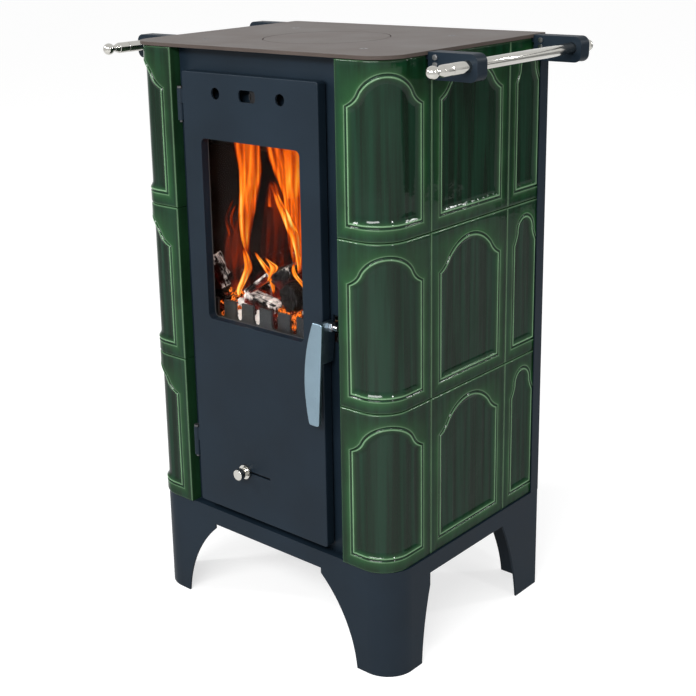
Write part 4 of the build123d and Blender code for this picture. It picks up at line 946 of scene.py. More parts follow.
class STOVE_OT_rails(bpy.types.Operator):
    """Turn the two rails and the ball finials on their ends, and polish the air knob"""

    bl_idname = "stove.rails"
    bl_label = "Rails and finials"

    def execute(self, context):
        chrome = metal_material("polished_steel", (0.50, 0.49, 0.455), 0.12)
        low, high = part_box("rails")
        ends_low, ends_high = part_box("rail_finials")
        radius = (high.z - low.z) / 2
        axis_x = high.x - radius
        axis_z = (low.z + high.z) / 2
        ball = (ends_high.z - ends_low.z) / 2
        neck = ball * 0.52
        neck_length = 0.0105
        fillet, fillet_rise = 0.001, 0.0006
        flare_step = 0.0012
        flare_from_ball = 0.019
        groove = 0.0008
        bevel = 0.0002
        soft = 0.0006
        ball_steps, flare_steps = 20, 6
        turn = math.pi - math.asin(neck / ball)
        rail_points, rail_faces, end_points, end_faces = [], [], [], []
        tube = [(low.y, radius - soft), (low.y + soft * 0.3, radius - soft * 0.3),
                (low.y + soft, radius), (high.y - soft, radius),
                (high.y - soft * 0.3, radius - soft * 0.3), (high.y, radius - soft)]
        for side in (-1, 1):
            turned_piece(rail_points, rail_faces, side * axis_x, axis_z, tube)
            for tip, inner, way in ((ends_low.y, low.y, 1), (ends_high.y, high.y, -1)):
                profile = [(tip + way * ball * (1 - math.cos(turn * i / ball_steps)),
                            ball * math.sin(turn * i / ball_steps))
                           for i in range(1, ball_steps + 1)]
                neck_end = tip + way * (ball + neck_length)
                flare = tip + way * (ball + flare_from_ball)
                profile += [(neck_end, neck), (neck_end + way * fillet, neck + fillet_rise)]
                profile += [(neck_end + way * (fillet + flare_step * i),
                             neck + (radius - groove - neck)
                             * math.sin(math.pi / 2 * i / flare_steps))
                            for i in range(1, flare_steps + 1)]
                profile += [(flare - way * groove, radius - groove), (flare, radius - bevel),
                            (flare + way * 2 * bevel, radius), (inner - way * soft, radius),
                            (inner, radius - soft)]
                turned_piece(end_points, end_faces, side * axis_x, axis_z, profile)
        for name, node, points, faces in (
                ("polished_rails", "rails", rail_points, rail_faces),
                ("ball_finials", "rail_finials", end_points, end_faces)):
            piece = body_piece(name, new_mesh(name, points, faces), chrome, math.radians(30),
                               weld=True)
            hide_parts(node)
        finish_nodes(["air_knob"], chrome)
        return {"FINISHED"}


class STOVE_OT_bare_metal(bpy.types.Operator):
    """Give the handle, screws, pins and clips their bare metal"""

    bl_idname = "stove.bare_metal"
    bl_label = "Bare metal"

    def execute(self, context):
        handle = metal_material("brushed_steel", (0.195, 0.272, 0.325), 0.34,
                                brush=(60.0, 60.0, 1600.0))
        finish_nodes(["latch_handle"], handle)
        zinc = metal_material("zinc_fastener", (0.42, 0.42, 0.43), 0.3)
        finish_nodes(["rear_panel_screws", "glass_clips", "glass_clip_nuts", "latch_pin",
                      "bracket_screws"], zinc)
        # painted shade: the top plate screws and hinge pins are darkened to stand for the shade
        # in their countersinks and gaps
        shaded_zinc = metal_material("smoked_zinc", (0.10, 0.10, 0.105), 0.4)
        finish_nodes(["top_plate_screws", "hinge_pins"], shaded_zinc)
        return {"FINISHED"}


class STOVE_OT_fire_lining(bpy.types.Operator):
    """Finish the firebricks, baffle, hearth, grate, log fender, glass and gasket"""

    bl_idname = "stove.fire_lining"
    bl_label = "Fire lining and glass"

    def execute(self, context):
        finish_nodes(["side_firebricks", "rear_firebricks", "baffle"], brick_material())
        finish_nodes(["hearth_plate", "grate", "log_fender"], iron_material())
        finish_nodes(["door_glass"], glass_material())
        finish_nodes(["glass_gasket"], rope_material("gasket_tape", (0.035, 0.034, 0.034)))
        return {"FINISHED"}


# ------------------------------------------------------------------------------------------
# Rope seal
# ------------------------------------------------------------------------------------------

def geometry_tree(name, inputs):
    """Geometry node tree with one geometry in, named inputs and one geometry out."""
    tree = bpy.data.node_groups.new(name, "GeometryNodeTree")
    tree.interface.new_socket("Geometry", in_out="INPUT", socket_type="NodeSocketGeometry")
    for socket, kind in inputs:
        tree.interface.new_socket(socket, in_out="INPUT", socket_type=kind)
    tree.interface.new_socket("Geometry", in_out="OUTPUT", socket_type="NodeSocketGeometry")
    return tree, tree.nodes.new("NodeGroupInput"), tree.nodes.new("NodeGroupOutput")


def end_tree(tree, source, sink, geometry):
    """Ends a tree with real geometry in the material that the tree is given."""
    solid = tree.nodes.new("GeometryNodeRealizeInstances")
    tree.links.new(geometry, solid.inputs[0])
    dress = tree.nodes.new("GeometryNodeSetMaterial")
    tree.links.new(solid.outputs[0], dress.inputs["Geometry"])
    tree.links.new(source.outputs["Material"], dress.inputs["Material"])
    tree.links.new(dress.outputs[0], sink.inputs[0])


def run_tree(source, tree, values, name):
    """Plain mesh object that the tree makes from source with the given input values."""
    modifier = source.modifiers.new(tree.name, "NODES")
    modifier.node_group = tree
    identifiers = {item.name: item.identifier for item in tree.interface.items_tree
                   if item.item_type == "SOCKET" and item.in_out == "INPUT"}
    for key, value in values.items():
        modifier[identifiers[key]] = value
    graph = bpy.context.evaluated_depsgraph_get()
    graph.update()
    mesh = bpy.data.meshes.new_from_object(source.evaluated_get(graph), depsgraph=graph)
    mesh.name = name
    source.modifiers.remove(modifier)
    bpy.data.objects.remove(source)
    return new_object(name, mesh)


def rope_tree():
    """Twisted rope along a curve: strands as lobes of the section, turned along its length."""
    tree, source, sink = geometry_tree(
        "twisted_rope",
        [("Radius", "NodeSocketFloat"), ("Strands", "NodeSocketInt"),
         ("Lobe", "NodeSocketFloat"), ("Lay", "NodeSocketFloat"),
         ("Material", "NodeSocketMaterial")])
    new, link = tree.nodes.new, tree.links.new
    along = new("GeometryNodeResampleCurve")
    along.mode = "LENGTH"
    along.inputs["Length"].default_value = 0.0035
    link(source.outputs["Geometry"], along.inputs["Curve"])
    spline = new("GeometryNodeSplineParameter")
    turns = number(tree, "DIVIDE", spline.outputs["Length"], source.outputs["Lay"])
    tilt = new("GeometryNodeSetCurveTilt")
    link(along.outputs[0], tilt.inputs["Curve"])
    link(number(tree, "MULTIPLY", turns, math.tau), tilt.inputs["Tilt"])
    section = new("GeometryNodeCurvePrimitiveCircle")
    section.mode = "RADIUS"
    section.inputs["Resolution"].default_value = 30
    link(source.outputs["Radius"], section.inputs["Radius"])
    share = new("GeometryNodeSplineParameter")
    lobes = number(tree, "MULTIPLY", share.outputs["Factor"], source.outputs["Strands"])
    wave = number(tree, "SINE", number(tree, "MULTIPLY", lobes, math.pi))
    dip = number(tree, "SUBTRACT", number(tree, "ABSOLUTE", wave), 1.0)
    reach = number(tree, "MULTIPLY", dip, source.outputs["Lobe"])
    where = new("GeometryNodeInputPosition")
    outwards = new("ShaderNodeVectorMath")
    outwards.operation = "NORMALIZE"
    link(where.outputs[0], outwards.inputs[0])
    push = new("ShaderNodeVectorMath")
    push.operation = "SCALE"
    link(outwards.outputs[0], push.inputs[0])
    link(reach, push.inputs["Scale"])
    shaped = new("GeometryNodeSetPosition")
    link(section.outputs[0], shaped.inputs["Geometry"])
    link(push.outputs[0], shaped.inputs["Offset"])
    tube = new("GeometryNodeCurveToMesh")
    link(tilt.outputs[0], tube.inputs["Curve"])
    link(shaped.outputs[0], tube.inputs["Profile Curve"])
    end_tree(tree, source, sink, tube.outputs[0])
    return tree


class STOVE_OT_rope_seal(bpy.types.Operator):
    """Lay the twisted rope seal in the channel at the back of the door"""

    bl_idname = "stove.rope_seal"
    bl_label = "Rope seal"

    def execute(self, context):
        s = context.scene.stove_rope
        low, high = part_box("door_seal")
        thickness = high.y - low.y
        radius = thickness / 2
        corner = radius * 1.6
        y = (low.y + high.y) / 2
        x0, x1 = low.x + radius, high.x - radius
        z0, z1 = low.z + radius, high.z - radius
        points = []
        corner_steps = 6
        for cx, cz, first in ((x1 - corner, z0 + corner, -90), (x1 - corner, z1 - corner, 0),
                              (x0 + corner, z1 - corner, 90), (x0 + corner, z0 + corner, 180)):
            for step in range(corner_steps + 1):
                a = math.radians(first + 90 * step / corner_steps)
                points.append((cx + corner * math.cos(a), y, cz + corner * math.sin(a)))
        curve = bpy.data.curves.new("seal_path", "CURVE")
        curve.dimensions = "3D"
        spline = curve.splines.new("POLY")
        spline.points.add(len(points) - 1)
        for point, place in zip(spline.points, points):
            point.co = (*place, 1.0)
        spline.use_cyclic_u = True
        path = new_object("seal_path", curve)
        material = rope_material("glass_rope", (0.36, 0.35, 0.33))
        length = 2 * (x1 - x0 + z1 - z0) - (8 - math.tau) * corner
        lay = length / round(length / s.pitch)
        rope = run_tree(path, rope_tree(),
                        {"Radius": radius, "Strands": s.strands, "Lobe": s.lobe, "Lay": lay,
                         "Material": material}, "braided_seal")
        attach(rope, "door")
        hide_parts("door_seal")
        return {"FINISHED"}


# ------------------------------------------------------------------------------------------
# Fire
# ------------------------------------------------------------------------------------------

def set_grain(mesh, places):
    """Point attribute with a place across and along the wood's grain."""
    made = mesh.attributes.new("grain", "FLOAT_VECTOR", "POINT")
    made.data.foreach_set("vector", [value for place in places for value in place])


def over_hearth(place):
    """The same place with its height counted from the hearth."""
    x, y, height = place
    return x, y, hearth_top + height


def split_section(corners, seed):
    """Function from an angle to the radius of a split log's section, or 1 for a round one."""
    if not corners:
        return lambda a: 1.0
    turns = [math.tau * (k + 0.35 * noise.noise((seed * 1.7, k * 2.3, 0.5))) / corners
             for k in range(corners)]
    apothem = 0.55 if corners == 3 else 0.74

    def radius(a):
        reach = max(math.cos(a - turn) for turn in turns)
        return min(1.12, apothem / max(reach, 0.2))

    return radius


def log_piece(name, start, end, radius, corners, ash, glow, seed, material):
    """Charred log from start to end: a lumpy closed bar, split or round, with broken ends."""
    start, end = Vector(start), Vector(end)
    axis = end - start
    length = axis.length
    side = axis.cross(Vector((0.3, 0.2, 1.0))).normalized()
    up = side.cross(axis).normalized()
    section = split_section(corners, seed)
    around, along, end_rings = 48, 44, 7
    points, grains, ashes, glows = [], [], [], []

    def add_ring(t, shrink, end_ash):
        for i in range(around):
            a = math.tau * i / around
            way = side * math.cos(a) + up * math.sin(a)
            spot = start + axis * t + way * radius
            # broad and fine lumps across the log, and a ragged length
            lump = 1 + 0.10 * fractal(spot, 30, seed) + 0.06 * fractal(spot, 110, seed + 3)
            reach = radius * section(a + 0.5 * noise.noise((t * 2, seed, 0))) * lump * shrink
            rough = 0.0025 * fractal(way * reach + Vector((0, 0, t)), 160, seed + 9)
            points.append(start + axis * t + way * reach + axis.normalized() * rough)
            grains.append((way.x * reach, way.y * reach, t * length + way.z * reach * 0.3))
            # ash lies heavier on top, which also paints the tops lighter as if lit from above,
            # and the glow shows underneath
            lit = 0.45 + 0.55 * max(0.0, way.z)
            ashes.append(ash * lit + end_ash)
            glows.append(glow * max(0.0, 0.35 - way.z))

    for ring in range(end_rings):
        share = (ring + 1) / (end_rings + 1)
        add_ring(0.0, share, -0.35 * ash * (1 - share))
    for j in range(along + 1):
        t = j / along
        edge = min(t, 1 - t) * along
        add_ring(t, min(1.0, 0.93 + 0.035 * edge), 0.25 if edge < 1.5 else 0.0)
    for ring in range(end_rings):
        add_ring(1.0, 1 - (ring + 1) / (end_rings + 1), 0.0)
    rings = along + 1 + 2 * end_rings
    centres = len(points)
    for spot, t in ((start, 0.0), (end, 1.0)):
        points.append(spot)
        grains.append((0.0, 0.0, t * length))
        ashes.append(0.0)
        glows.append(0.0)
    mesh = new_mesh(name, points, tube_faces(0, rings, around, centres))
    set_floats(mesh, ash=ashes, glow=glows)
    set_grain(mesh, grains)
    return body_piece(name, mesh, material)


def scatter_tree():
    """Lumps scattered over a surface, turned and sized at random from a fixed seed."""
    tree, source, sink = geometry_tree(
        "scattered_lumps",
        [("Count", "NodeSocketInt"), ("Seed", "NodeSocketInt"), ("Size", "NodeSocketFloat"),
         ("Flatness", "NodeSocketFloat"), ("Lump", "NodeSocketObject"),
         ("Material", "NodeSocketMaterial")])
    new, link = tree.nodes.new, tree.links.new
    area = new("GeometryNodeAttributeStatistic")
    area.domain = "FACE"
    face_area = new("GeometryNodeInputMeshFaceArea")
    link(source.outputs["Geometry"], area.inputs["Geometry"])
    link(face_area.outputs[0], area.inputs["Attribute"])
    density = number(tree, "DIVIDE", source.outputs["Count"], area.outputs["Sum"])
    spots = new("GeometryNodeDistributePointsOnFaces")
    link(source.outputs["Geometry"], spots.inputs["Mesh"])
    link(density, spots.inputs["Density"])
    link(source.outputs["Seed"], spots.inputs["Seed"])
    lump = new("GeometryNodeObjectInfo")
    link(source.outputs["Lump"], lump.inputs["Object"])
    turn = new("FunctionNodeRandomValue")
    turn.data_type = "FLOAT_VECTOR"
    turn.inputs[1].default_value = (math.tau,) * 3
    link(source.outputs["Seed"], turn.inputs["Seed"])
    size = new("FunctionNodeRandomValue")
    size.data_type = "FLOAT"
    size.inputs[2].default_value = 0.45
    size.inputs[3].default_value = 1.0
    link(source.outputs["Seed"], size.inputs["Seed"])
    grow = number(tree, "MULTIPLY", size.outputs[1], source.outputs["Size"])
    shape = new("ShaderNodeCombineXYZ")
    link(grow, shape.inputs[0])
    link(grow, shape.inputs[1])
    link(number(tree, "MULTIPLY", grow, source.outputs["Flatness"]), shape.inputs[2])
    place = new("GeometryNodeInstanceOnPoints")
    link(spots.outputs["Points"], place.inputs["Points"])
    link(lump.outputs["Geometry"], place.inputs["Instance"])
    link(turn.outputs[0], place.inputs["Rotation"])
    link(shape.outputs[0], place.inputs["Scale"])
    end_tree(tree, source, sink, place.outputs[0])
    return tree


def lump_source(seed, ash, glow):
    """Small unit lump with broken faces, 80 triangles."""
    mesh = bpy.data.meshes.new("lump")
    bm = bmesh.new()
    bmesh.ops.create_icosphere(bm, subdivisions=2, radius=1.0)
    for vertex in bm.verts:
        vertex.co *= 1 + 0.5 * fractal(vertex.co, 1.1, seed, 3)
    bm.to_mesh(mesh)
    bm.free()
    places = [v.co.copy() for v in mesh.vertices]
    # ash lies heavier on the tops of the lumps, which also paints them lighter as if lit from
    # above; the glow shows underneath
    set_floats(mesh, ash=[ash * (0.6 + 0.4 * max(0.0, p.z)) for p in places],
               glow=[glow * min(1.0, max(0.2, 0.8 - p.z)) for p in places])
    set_grain(mesh, [p * 0.02 for p in places])
    return new_object("lump", mesh)


def bed_source(low, high, rise, seed):
    """Uneven bed over a rectangle, from low at the front to high at the rear."""
    across, deep = 40, 30
    lowest = hearth_top + 0.002
    points, faces = [], []
    for j in range(deep + 1):
        for i in range(across + 1):
            x = low[0] + (high[0] - low[0]) * i / across
            y = low[1] + (high[1] - low[1]) * j / deep
            slope = low[2] + (high[2] - low[2]) * j / deep
            z = slope + rise * (0.3 + 0.5 * fractal((x, y, 0), 18, seed))
            points.append((x, y, max(z, lowest)))
    for j in range(deep):
        for i in range(across):
            a = j * (across + 1) + i
            faces.append((a, a + 1, a + across + 2, a + across + 1))
    return new_object("bed", new_mesh("bed", points, faces))


class STOVE_OT_log_fire(bpy.types.Operator):
    """Build the logs, the bed of embers and the ash"""

    bl_idname = "stove.log_fire"
    bl_label = "Logs and embers"

    def execute(self, context):
        s = context.scene.stove_fire
        char = char_material()
        ash = ash_material()
        # name, start and end with heights over the hearth, radius, corners, ash, glow
        logs = [
            ("left_ashy_log", (-0.139, -0.143, 0.108), (-0.116, -0.136, 0.062),
             0.0135, 5, 0.95, 0.1),
            ("left_black_log", (-0.156, -0.147, 0.042), (-0.108, -0.138, 0.036),
             0.0145, 5, 0.20, 0.3),
            ("left_rear_log", (-0.096, -0.138, 0.074), (-0.125, 0.010, 0.070),
             0.022, 5, 0.30, 0.25),
            ("middle_pink_log", (-0.068, -0.146, 0.060), (-0.028, -0.136, 0.092),
             0.0075, 4, 0.95, 0.7),
            ("middle_ashy_log", (-0.066, -0.146, 0.055), (-0.008, -0.141, 0.042),
             0.0140, 5, 0.85, 0.5),
            ("middle_back_log", (-0.058, -0.120, 0.060), (-0.052, 0.030, 0.066),
             0.020, 4, 0.35, 0.35),
            ("triangular_log", (-0.008, -0.139, 0.088), (-0.034, -0.010, 0.092),
             0.0225, 3, 0.55, 0.15),
            ("right_round_log", (0.018, -0.149, 0.067), (0.052, 0.020, 0.072),
             0.0215, 0, 0.05, 0.0),
            ("right_low_log", (0.052, -0.132, 0.026), (0.132, -0.100, 0.028),
             0.023, 5, 0.3, 0.0),
            ("right_split_log", (0.078, -0.132, 0.058), (0.126, -0.020, 0.066),
             0.020, 4, 0.7, 0.0),
            ("right_cross_log", (0.146, -0.100, 0.060), (0.050, -0.040, 0.096),
             0.017, 5, 0.5, 0.0),
            ("rear_long_log", (-0.150, 0.030, 0.030), (0.140, 0.070, 0.034), 0.027,
             0, 0.5, 0.5),
            ("rear_cross_log", (-0.120, 0.080, 0.085), (0.010, -0.020, 0.080), 0.022,
             4, 0.6, 0.5),
            ("rear_top_log", (0.110, 0.095, 0.088), (-0.030, 0.040, 0.104), 0.021, 5,
             0.4, 0.4),
        ]
        for index, (name, start, end, radius, corners, ashy, glow) in enumerate(logs):
            log_piece(name, over_hearth(start), over_hearth(end), radius, corners, ashy, glow,
                      s.seed + index, char)
        tree = scatter_tree()
        size = s.coal_size
        # name, corners with heights over the hearth, roughness, count, lump size, flatness,
        # ash, glow
        beds = [
            ("ember_bed", (-0.140, -0.138, 0.020), (0.134, 0.120, 0.012), 0.030,
             s.coal_count, size, 0.8, 0.45, 0.8),
            ("front_coals", (-0.146, -0.151, 0.004), (0.122, -0.138, 0.036), 0.012,
             int(s.coal_count * 0.8), size * 0.55, 0.8, 0.25, 0.12),
            ("left_embers", (-0.120, -0.150, 0.034), (-0.072, -0.128, 0.048), 0.014,
             60, size * 0.40, 0.8, 0.2, 1.8),
            ("left_corner_embers", (-0.119, -0.154, 0.004), (-0.103, -0.146, 0.022),
             0.004, 30, size * 0.36, 0.8, 0.0, 1.5),
            ("right_embers", (0.002, -0.154, 0.036), (0.044, -0.147, 0.047), 0.004,
             60, size * 0.40, 0.8, 0.0, 1.8),
            ("notch_embers", (0.028, -0.154, 0.004), (0.048, -0.146, 0.036), 0.004,
             40, size * 0.40, 0.8, 0.0, 1.5),
            ("ash_flakes", (-0.140, -0.138, 0.020), (0.134, 0.120, 0.020), 0.040,
             s.ash_count, size * 0.5, 0.35, 1.0, 0.0),
            ("left_white_ash", (-0.081, -0.154, 0.012), (-0.067, -0.146, 0.046), 0.003,
             34, size * 0.42, 0.9, 1.3, 0.0),
            ("middle_white_ash", (-0.044, -0.154, 0.006), (-0.030, -0.147, 0.034),
             0.003, 34, size * 0.46, 0.9, 1.3, 0.0),
        ]
        for index, (name, low, high, rise, count, lump_size, flat, ashy, glow) in enumerate(
                beds):
            seed = s.seed + 20 + index
            lump = lump_source(seed, ashy, glow)
            material = ash if glow == 0.0 else char
            source = bed_source(over_hearth(low), over_hearth(high), rise, seed)
            bed = run_tree(source, tree,
                           {"Count": count, "Seed": seed, "Size": lump_size,
                            "Flatness": flat, "Lump": lump, "Material": material}, name)
            bpy.data.objects.remove(lump)
            bed.data.shade_smooth()
            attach(bed, "stove_body")
        return {"FINISHED"}


def curve_through(stations, steps):
    """Rows of a smooth curve through rows of numbers, with the given steps for each span."""
    rows_out = []
    for k in range(len(stations) - 1):
        before = stations[max(k - 1, 0)]
        first, second = stations[k], stations[k + 1]
        after = stations[min(k + 2, len(stations) - 1)]
        for step in range(steps + (k == len(stations) - 2)):
            t = step / steps
            rows_out.append([0.5 * (2 * b + (c - a) * t + (2 * a - 5 * b + 4 * c - d) * t * t
                                    + (3 * b - a - 3 * c + d) * t ** 3)
                             for a, b, c, d in zip(before, first, second, after)])
    return rows_out


def filament_heat(filaments, x, z):
    """Heat that thin bright filaments add at a place: each is rows of x, z, width, heat."""
    total = 0.0
    for rows_in in filaments:
        for (x0, z0, w0, h0), (x1, z1, w1, h1) in zip(rows_in, rows_in[1:]):
            if min(z0, z1) <= z <= max(z0, z1):
                t = (z - z0) / (z1 - z0)
                width = w0 + (w1 - w0) * t
                away = (x - x0 - (x1 - x0) * t) / width
                total = max(total, (h0 + (h1 - h0) * t) * math.exp(-away * away))
    return total


def flame_body(name, y, stations, filaments, base, material):
    """Flame as a closed, flattened loft through stations of x, z and half width."""
    span_steps, around = 22, 72
    thinnest, deepest = 0.0006, 0.010
    fade_in, fade_out = 0.10, 0.16
    spine = curve_through(stations, span_steps)
    total = len(spine)
    points, rims, heats = [], [], []

    def sway(t, x):
        """How far the flame leans back or forward at a share t of its height."""
        return 0.006 * math.sin(5.0 * t + x * 30)

    for j, (x, z, half) in enumerate(spine):
        half = max(half, thinnest)
        t = j / (total - 1)
        fade = min(1.0, t / fade_in, (1 - t) / fade_out)
        for i in range(around):
            a = math.tau * i / around
            across = math.cos(a) * half
            ragged = 0.0022 * fractal((x + across, z, y), 45, 2) * abs(math.cos(a)) ** 3
            px = x + across + ragged
            deep = math.sin(a) * min(deepest, half * 0.6)
            points.append((px, y + sway(t, x) + deep, hearth_top + z))
            rims.append(abs(math.cos(a)))
            lines = 1 - abs(noise.noise((px * 90, z * 9, y * 40 + t)))
            heats.append(fade * (base * (0.25 + 0.95 * lines ** 3)
                                 + filament_heat(filaments, px, z)))
    ends = len(points)
    for j in (0, total - 1):
        x, z, _ = spine[j]
        points.append((x, y + sway(j / (total - 1), x), hearth_top + z))
        rims.append(0.0)
        heats.append(0.0)
    mesh = new_mesh(name, points, tube_faces(0, total, around, ends))
    set_floats(mesh, rim=rims, hotness=heats)
    return body_piece(name, mesh, material)


class STOVE_OT_flames(bpy.types.Operator):
    """Make the flames over the logs"""

    bl_idname = "stove.flames"
    bl_label = "Flames"

    def execute(self, context):
        material = flame_material(context.scene.stove_fire)
        # name: y, stations of (x, height over the hearth, half width), filaments, base heat
        bodies = {
            "left_tall_flame": (-0.110, [
                (-0.099, 0.105, 0.002), (-0.098, 0.135, 0.009), (-0.094, 0.168, 0.0145),
                (-0.090, 0.200, 0.0175), (-0.089, 0.235, 0.022), (-0.096, 0.270, 0.026),
                (-0.102, 0.305, 0.024), (-0.110, 0.330, 0.004)],
                [[(-0.102, 0.110, 0.005, 0.5), (-0.101, 0.140, 0.007, 0.60),
                  (-0.096, 0.192, 0.009, 0.62), (-0.099, 0.235, 0.010, 0.52),
                  (-0.108, 0.277, 0.009, 0.42), (-0.114, 0.330, 0.008, 0.2)],
                 [(-0.088, 0.190, 0.004, 0.1), (-0.080, 0.235, 0.005, 0.38),
                  (-0.079, 0.277, 0.005, 0.42), (-0.078, 0.325, 0.004, 0.2)]], 0.46),
            "left_low_flame": (-0.1415, [
                (-0.086, 0.050, 0.001), (-0.083, 0.062, 0.005), (-0.077, 0.078, 0.0065),
                (-0.073, 0.096, 0.0072), (-0.076, 0.110, 0.006), (-0.082, 0.128, 0.0015)],
                [[(-0.086, 0.050, 0.003, 0.5), (-0.079, 0.074, 0.004, 0.75),
                  (-0.073, 0.095, 0.004, 0.6), (-0.081, 0.128, 0.004, 0.2)]], 0.70),
            "left_haze": (-0.125, [
                (-0.100, 0.060, 0.020), (-0.100, 0.095, 0.030), (-0.102, 0.130, 0.028),
                (-0.106, 0.165, 0.016), (-0.110, 0.190, 0.002)], [], 0.22),
            "middle_haze": (-0.098, [
                (-0.050, 0.080, 0.020), (-0.052, 0.120, 0.030), (-0.054, 0.165, 0.026),
                (-0.057, 0.205, 0.014), (-0.058, 0.232, 0.003)],
                [[(-0.058, 0.186, 0.004, 0.45), (-0.058, 0.222, 0.003, 0.1)]], 0.21),
            "right_tall_flame": (-0.106, [
                (0.010, 0.085, 0.006), (0.008, 0.120, 0.026), (0.006, 0.165, 0.031),
                (-0.002, 0.210, 0.030), (-0.012, 0.245, 0.038), (-0.019, 0.280, 0.042),
                (-0.024, 0.312, 0.032), (-0.030, 0.336, 0.004)],
                [[(-0.020, 0.100, 0.004, 0.30), (-0.019, 0.170, 0.006, 0.62),
                  (-0.023, 0.206, 0.008, 0.62), (-0.034, 0.242, 0.008, 0.50),
                  (-0.046, 0.277, 0.007, 0.40), (-0.052, 0.330, 0.006, 0.2)],
                 [(-0.015, 0.205, 0.006, 0.35), (-0.005, 0.246, 0.006, 0.48),
                  (-0.004, 0.290, 0.006, 0.36), (-0.006, 0.330, 0.005, 0.2)]], 0.48),
            "right_leaning_flame": (-0.120, [
                (0.012, 0.095, 0.002), (0.010, 0.125, 0.0065), (0.003, 0.150, 0.0095),
                (-0.009, 0.178, 0.009), (-0.022, 0.204, 0.006), (-0.034, 0.232, 0.0015)],
                [[(0.012, 0.095, 0.004, 0.5), (0.003, 0.150, 0.005, 0.50),
                  (-0.010, 0.178, 0.005, 0.45), (-0.034, 0.232, 0.003, 0.2)]], 0.60),
            "diagonal_flame": (-0.1435, [
                (-0.014, 0.066, 0.001), (-0.021, 0.082, 0.0045), (-0.030, 0.096, 0.006),
                (-0.041, 0.110, 0.0045), (-0.052, 0.128, 0.0012)],
                [[(-0.014, 0.066, 0.003, 0.4), (-0.029, 0.095, 0.003, 0.5),
                  (-0.052, 0.128, 0.003, 0.2)]], 0.70),
            "fan_flame": (-0.1425, [
                (-0.025, 0.084, 0.001), (-0.022, 0.096, 0.005), (-0.020, 0.106, 0.008),
                (-0.022, 0.114, 0.004), (-0.028, 0.122, 0.001)],
                [[(-0.026, 0.084, 0.003, 0.4), (-0.020, 0.104, 0.005, 0.4),
                  (-0.028, 0.122, 0.002, 0.1)]], 0.55),
            "right_edge_flame": (-0.1415, [
                (0.040, 0.078, 0.001), (0.036, 0.092, 0.004), (0.031, 0.106, 0.004),
                (0.028, 0.122, 0.001)],
                [[(0.040, 0.078, 0.003, 0.4), (0.028, 0.122, 0.002, 0.3)]], 0.60),
            "left_red_wisp": (-0.112, [
                (-0.139, 0.128, 0.001), (-0.136, 0.150, 0.0028), (-0.132, 0.172, 0.0022),
                (-0.129, 0.190, 0.0008)], [], 0.40),
            "left_violet_wisp": (-0.114, [
                (-0.123, 0.138, 0.001), (-0.122, 0.155, 0.003), (-0.122, 0.172, 0.0022),
                (-0.121, 0.184, 0.0008)], [], 0.38),
            "far_right_flame": (-0.104, [
                (0.092, 0.060, 0.004), (0.096, 0.100, 0.018), (0.094, 0.150, 0.026),
                (0.090, 0.200, 0.026), (0.086, 0.245, 0.020), (0.084, 0.280, 0.004)],
                [[(0.088, 0.070, 0.004, 0.4), (0.092, 0.130, 0.006, 0.55),
                  (0.084, 0.200, 0.007, 0.45), (0.082, 0.270, 0.004, 0.2)]], 0.46),
        }
        for name, (y, stations, filaments, base) in bodies.items():
            flame_body(name, y, stations, filaments, base, material)
        return {"FINISHED"}


# ------------------------------------------------------------------------------------------
# Stage
# ------------------------------------------------------------------------------------------

lamp_target = (0.0, 0.0, 0.5)
white = (1.0, 1.0, 1.0)


def area_lamp(name, place, width, height, power):
    """Soft rectangular lamp at place, turned to the stove's middle."""
    light = bpy.data.lights.new(name, "AREA")
    light.shape = "RECTANGLE"
    light.size = width
    light.size_y = height
    light.energy = power
    lamp = new_object(name, light)
    lamp.location = place
    way = Vector(lamp_target) - Vector(place)
    lamp.rotation_euler = way.to_track_quat("-Z", "Y").to_euler()


def seen_rays(tree):
    """1 for rays from the camera, in reflections and through glass, and 0 for the light."""
    path = tree.nodes.new("ShaderNodeLightPath")
    seen = path.outputs["Is Camera Ray"]
    for ray in ("Is Glossy Ray", "Is Transmission Ray"):
        seen = number(tree, "MAXIMUM", seen, path.outputs[ray])
    return seen


def pale_floor(size, colour, near_fill):
    """Wide floor, white as it is seen but for the stove's shadow."""
    near, far, far_fill = 1.0, 5.0, 0.72
    mesh = new_mesh("floor", [(-size, -size, 0), (size, -size, 0), (size, size, 0),
                              (-size, size, 0)], [(0, 1, 2, 3)])
    m = Shader("pale_floor")
    away = m.node("ShaderNodeVectorMath", {0: m.place()}, operation="LENGTH")
    fill = m.span(away.outputs["Value"], near, far, near_fill, far_fill)
    m.set(Base_Color=tuple(colour), Roughness=0.9, Specular_IOR_Level=0.0,
          Emission_Color=white,
          Emission_Strength=m.math("MULTIPLY", seen_rays(m.tree), fill))
    mesh.materials.append(m.material)
    new_object("floor", mesh)


def reflection_board(name, left, right, distance, bottom, top, shade):
    """Upright board behind the stove, seen only in polished and glazed surfaces."""
    mesh = new_mesh(name, [(left, distance, bottom), (right, distance, bottom),
                           (right, distance, top), (left, distance, top)], [(0, 1, 2, 3)])
    m = Shader(name)
    m.set(Base_Color=(shade, shade, shade), Roughness=0.9, Specular_IOR_Level=0.0)
    mesh.materials.append(m.material)
    board = new_object(name, mesh)
    board.visible_camera = False
    board.visible_diffuse = False
    board.visible_shadow = False
    board.visible_transmission = False


def studio_world(ambient):
    """White surroundings as they are seen, and an even light from all round."""
    world = bpy.data.worlds.new("studio")
    world.use_nodes = True
    tree = world.node_tree
    tree.nodes.clear()
    blend = tree.nodes.new("ShaderNodeMixShader")
    tree.links.new(seen_rays(tree), blend.inputs[0])
    for index, strength in ((1, ambient), (2, 1.0)):
        light = tree.nodes.new("ShaderNodeBackground")
        light.inputs["Color"].default_value = (*white, 1.0)
        light.inputs["Strength"].default_value = strength
        tree.links.new(light.outputs[0], blend.inputs[index])
    out = tree.nodes.new("ShaderNodeOutputWorld")
    tree.links.new(blend.outputs[0], out.inputs["Surface"])
    return world


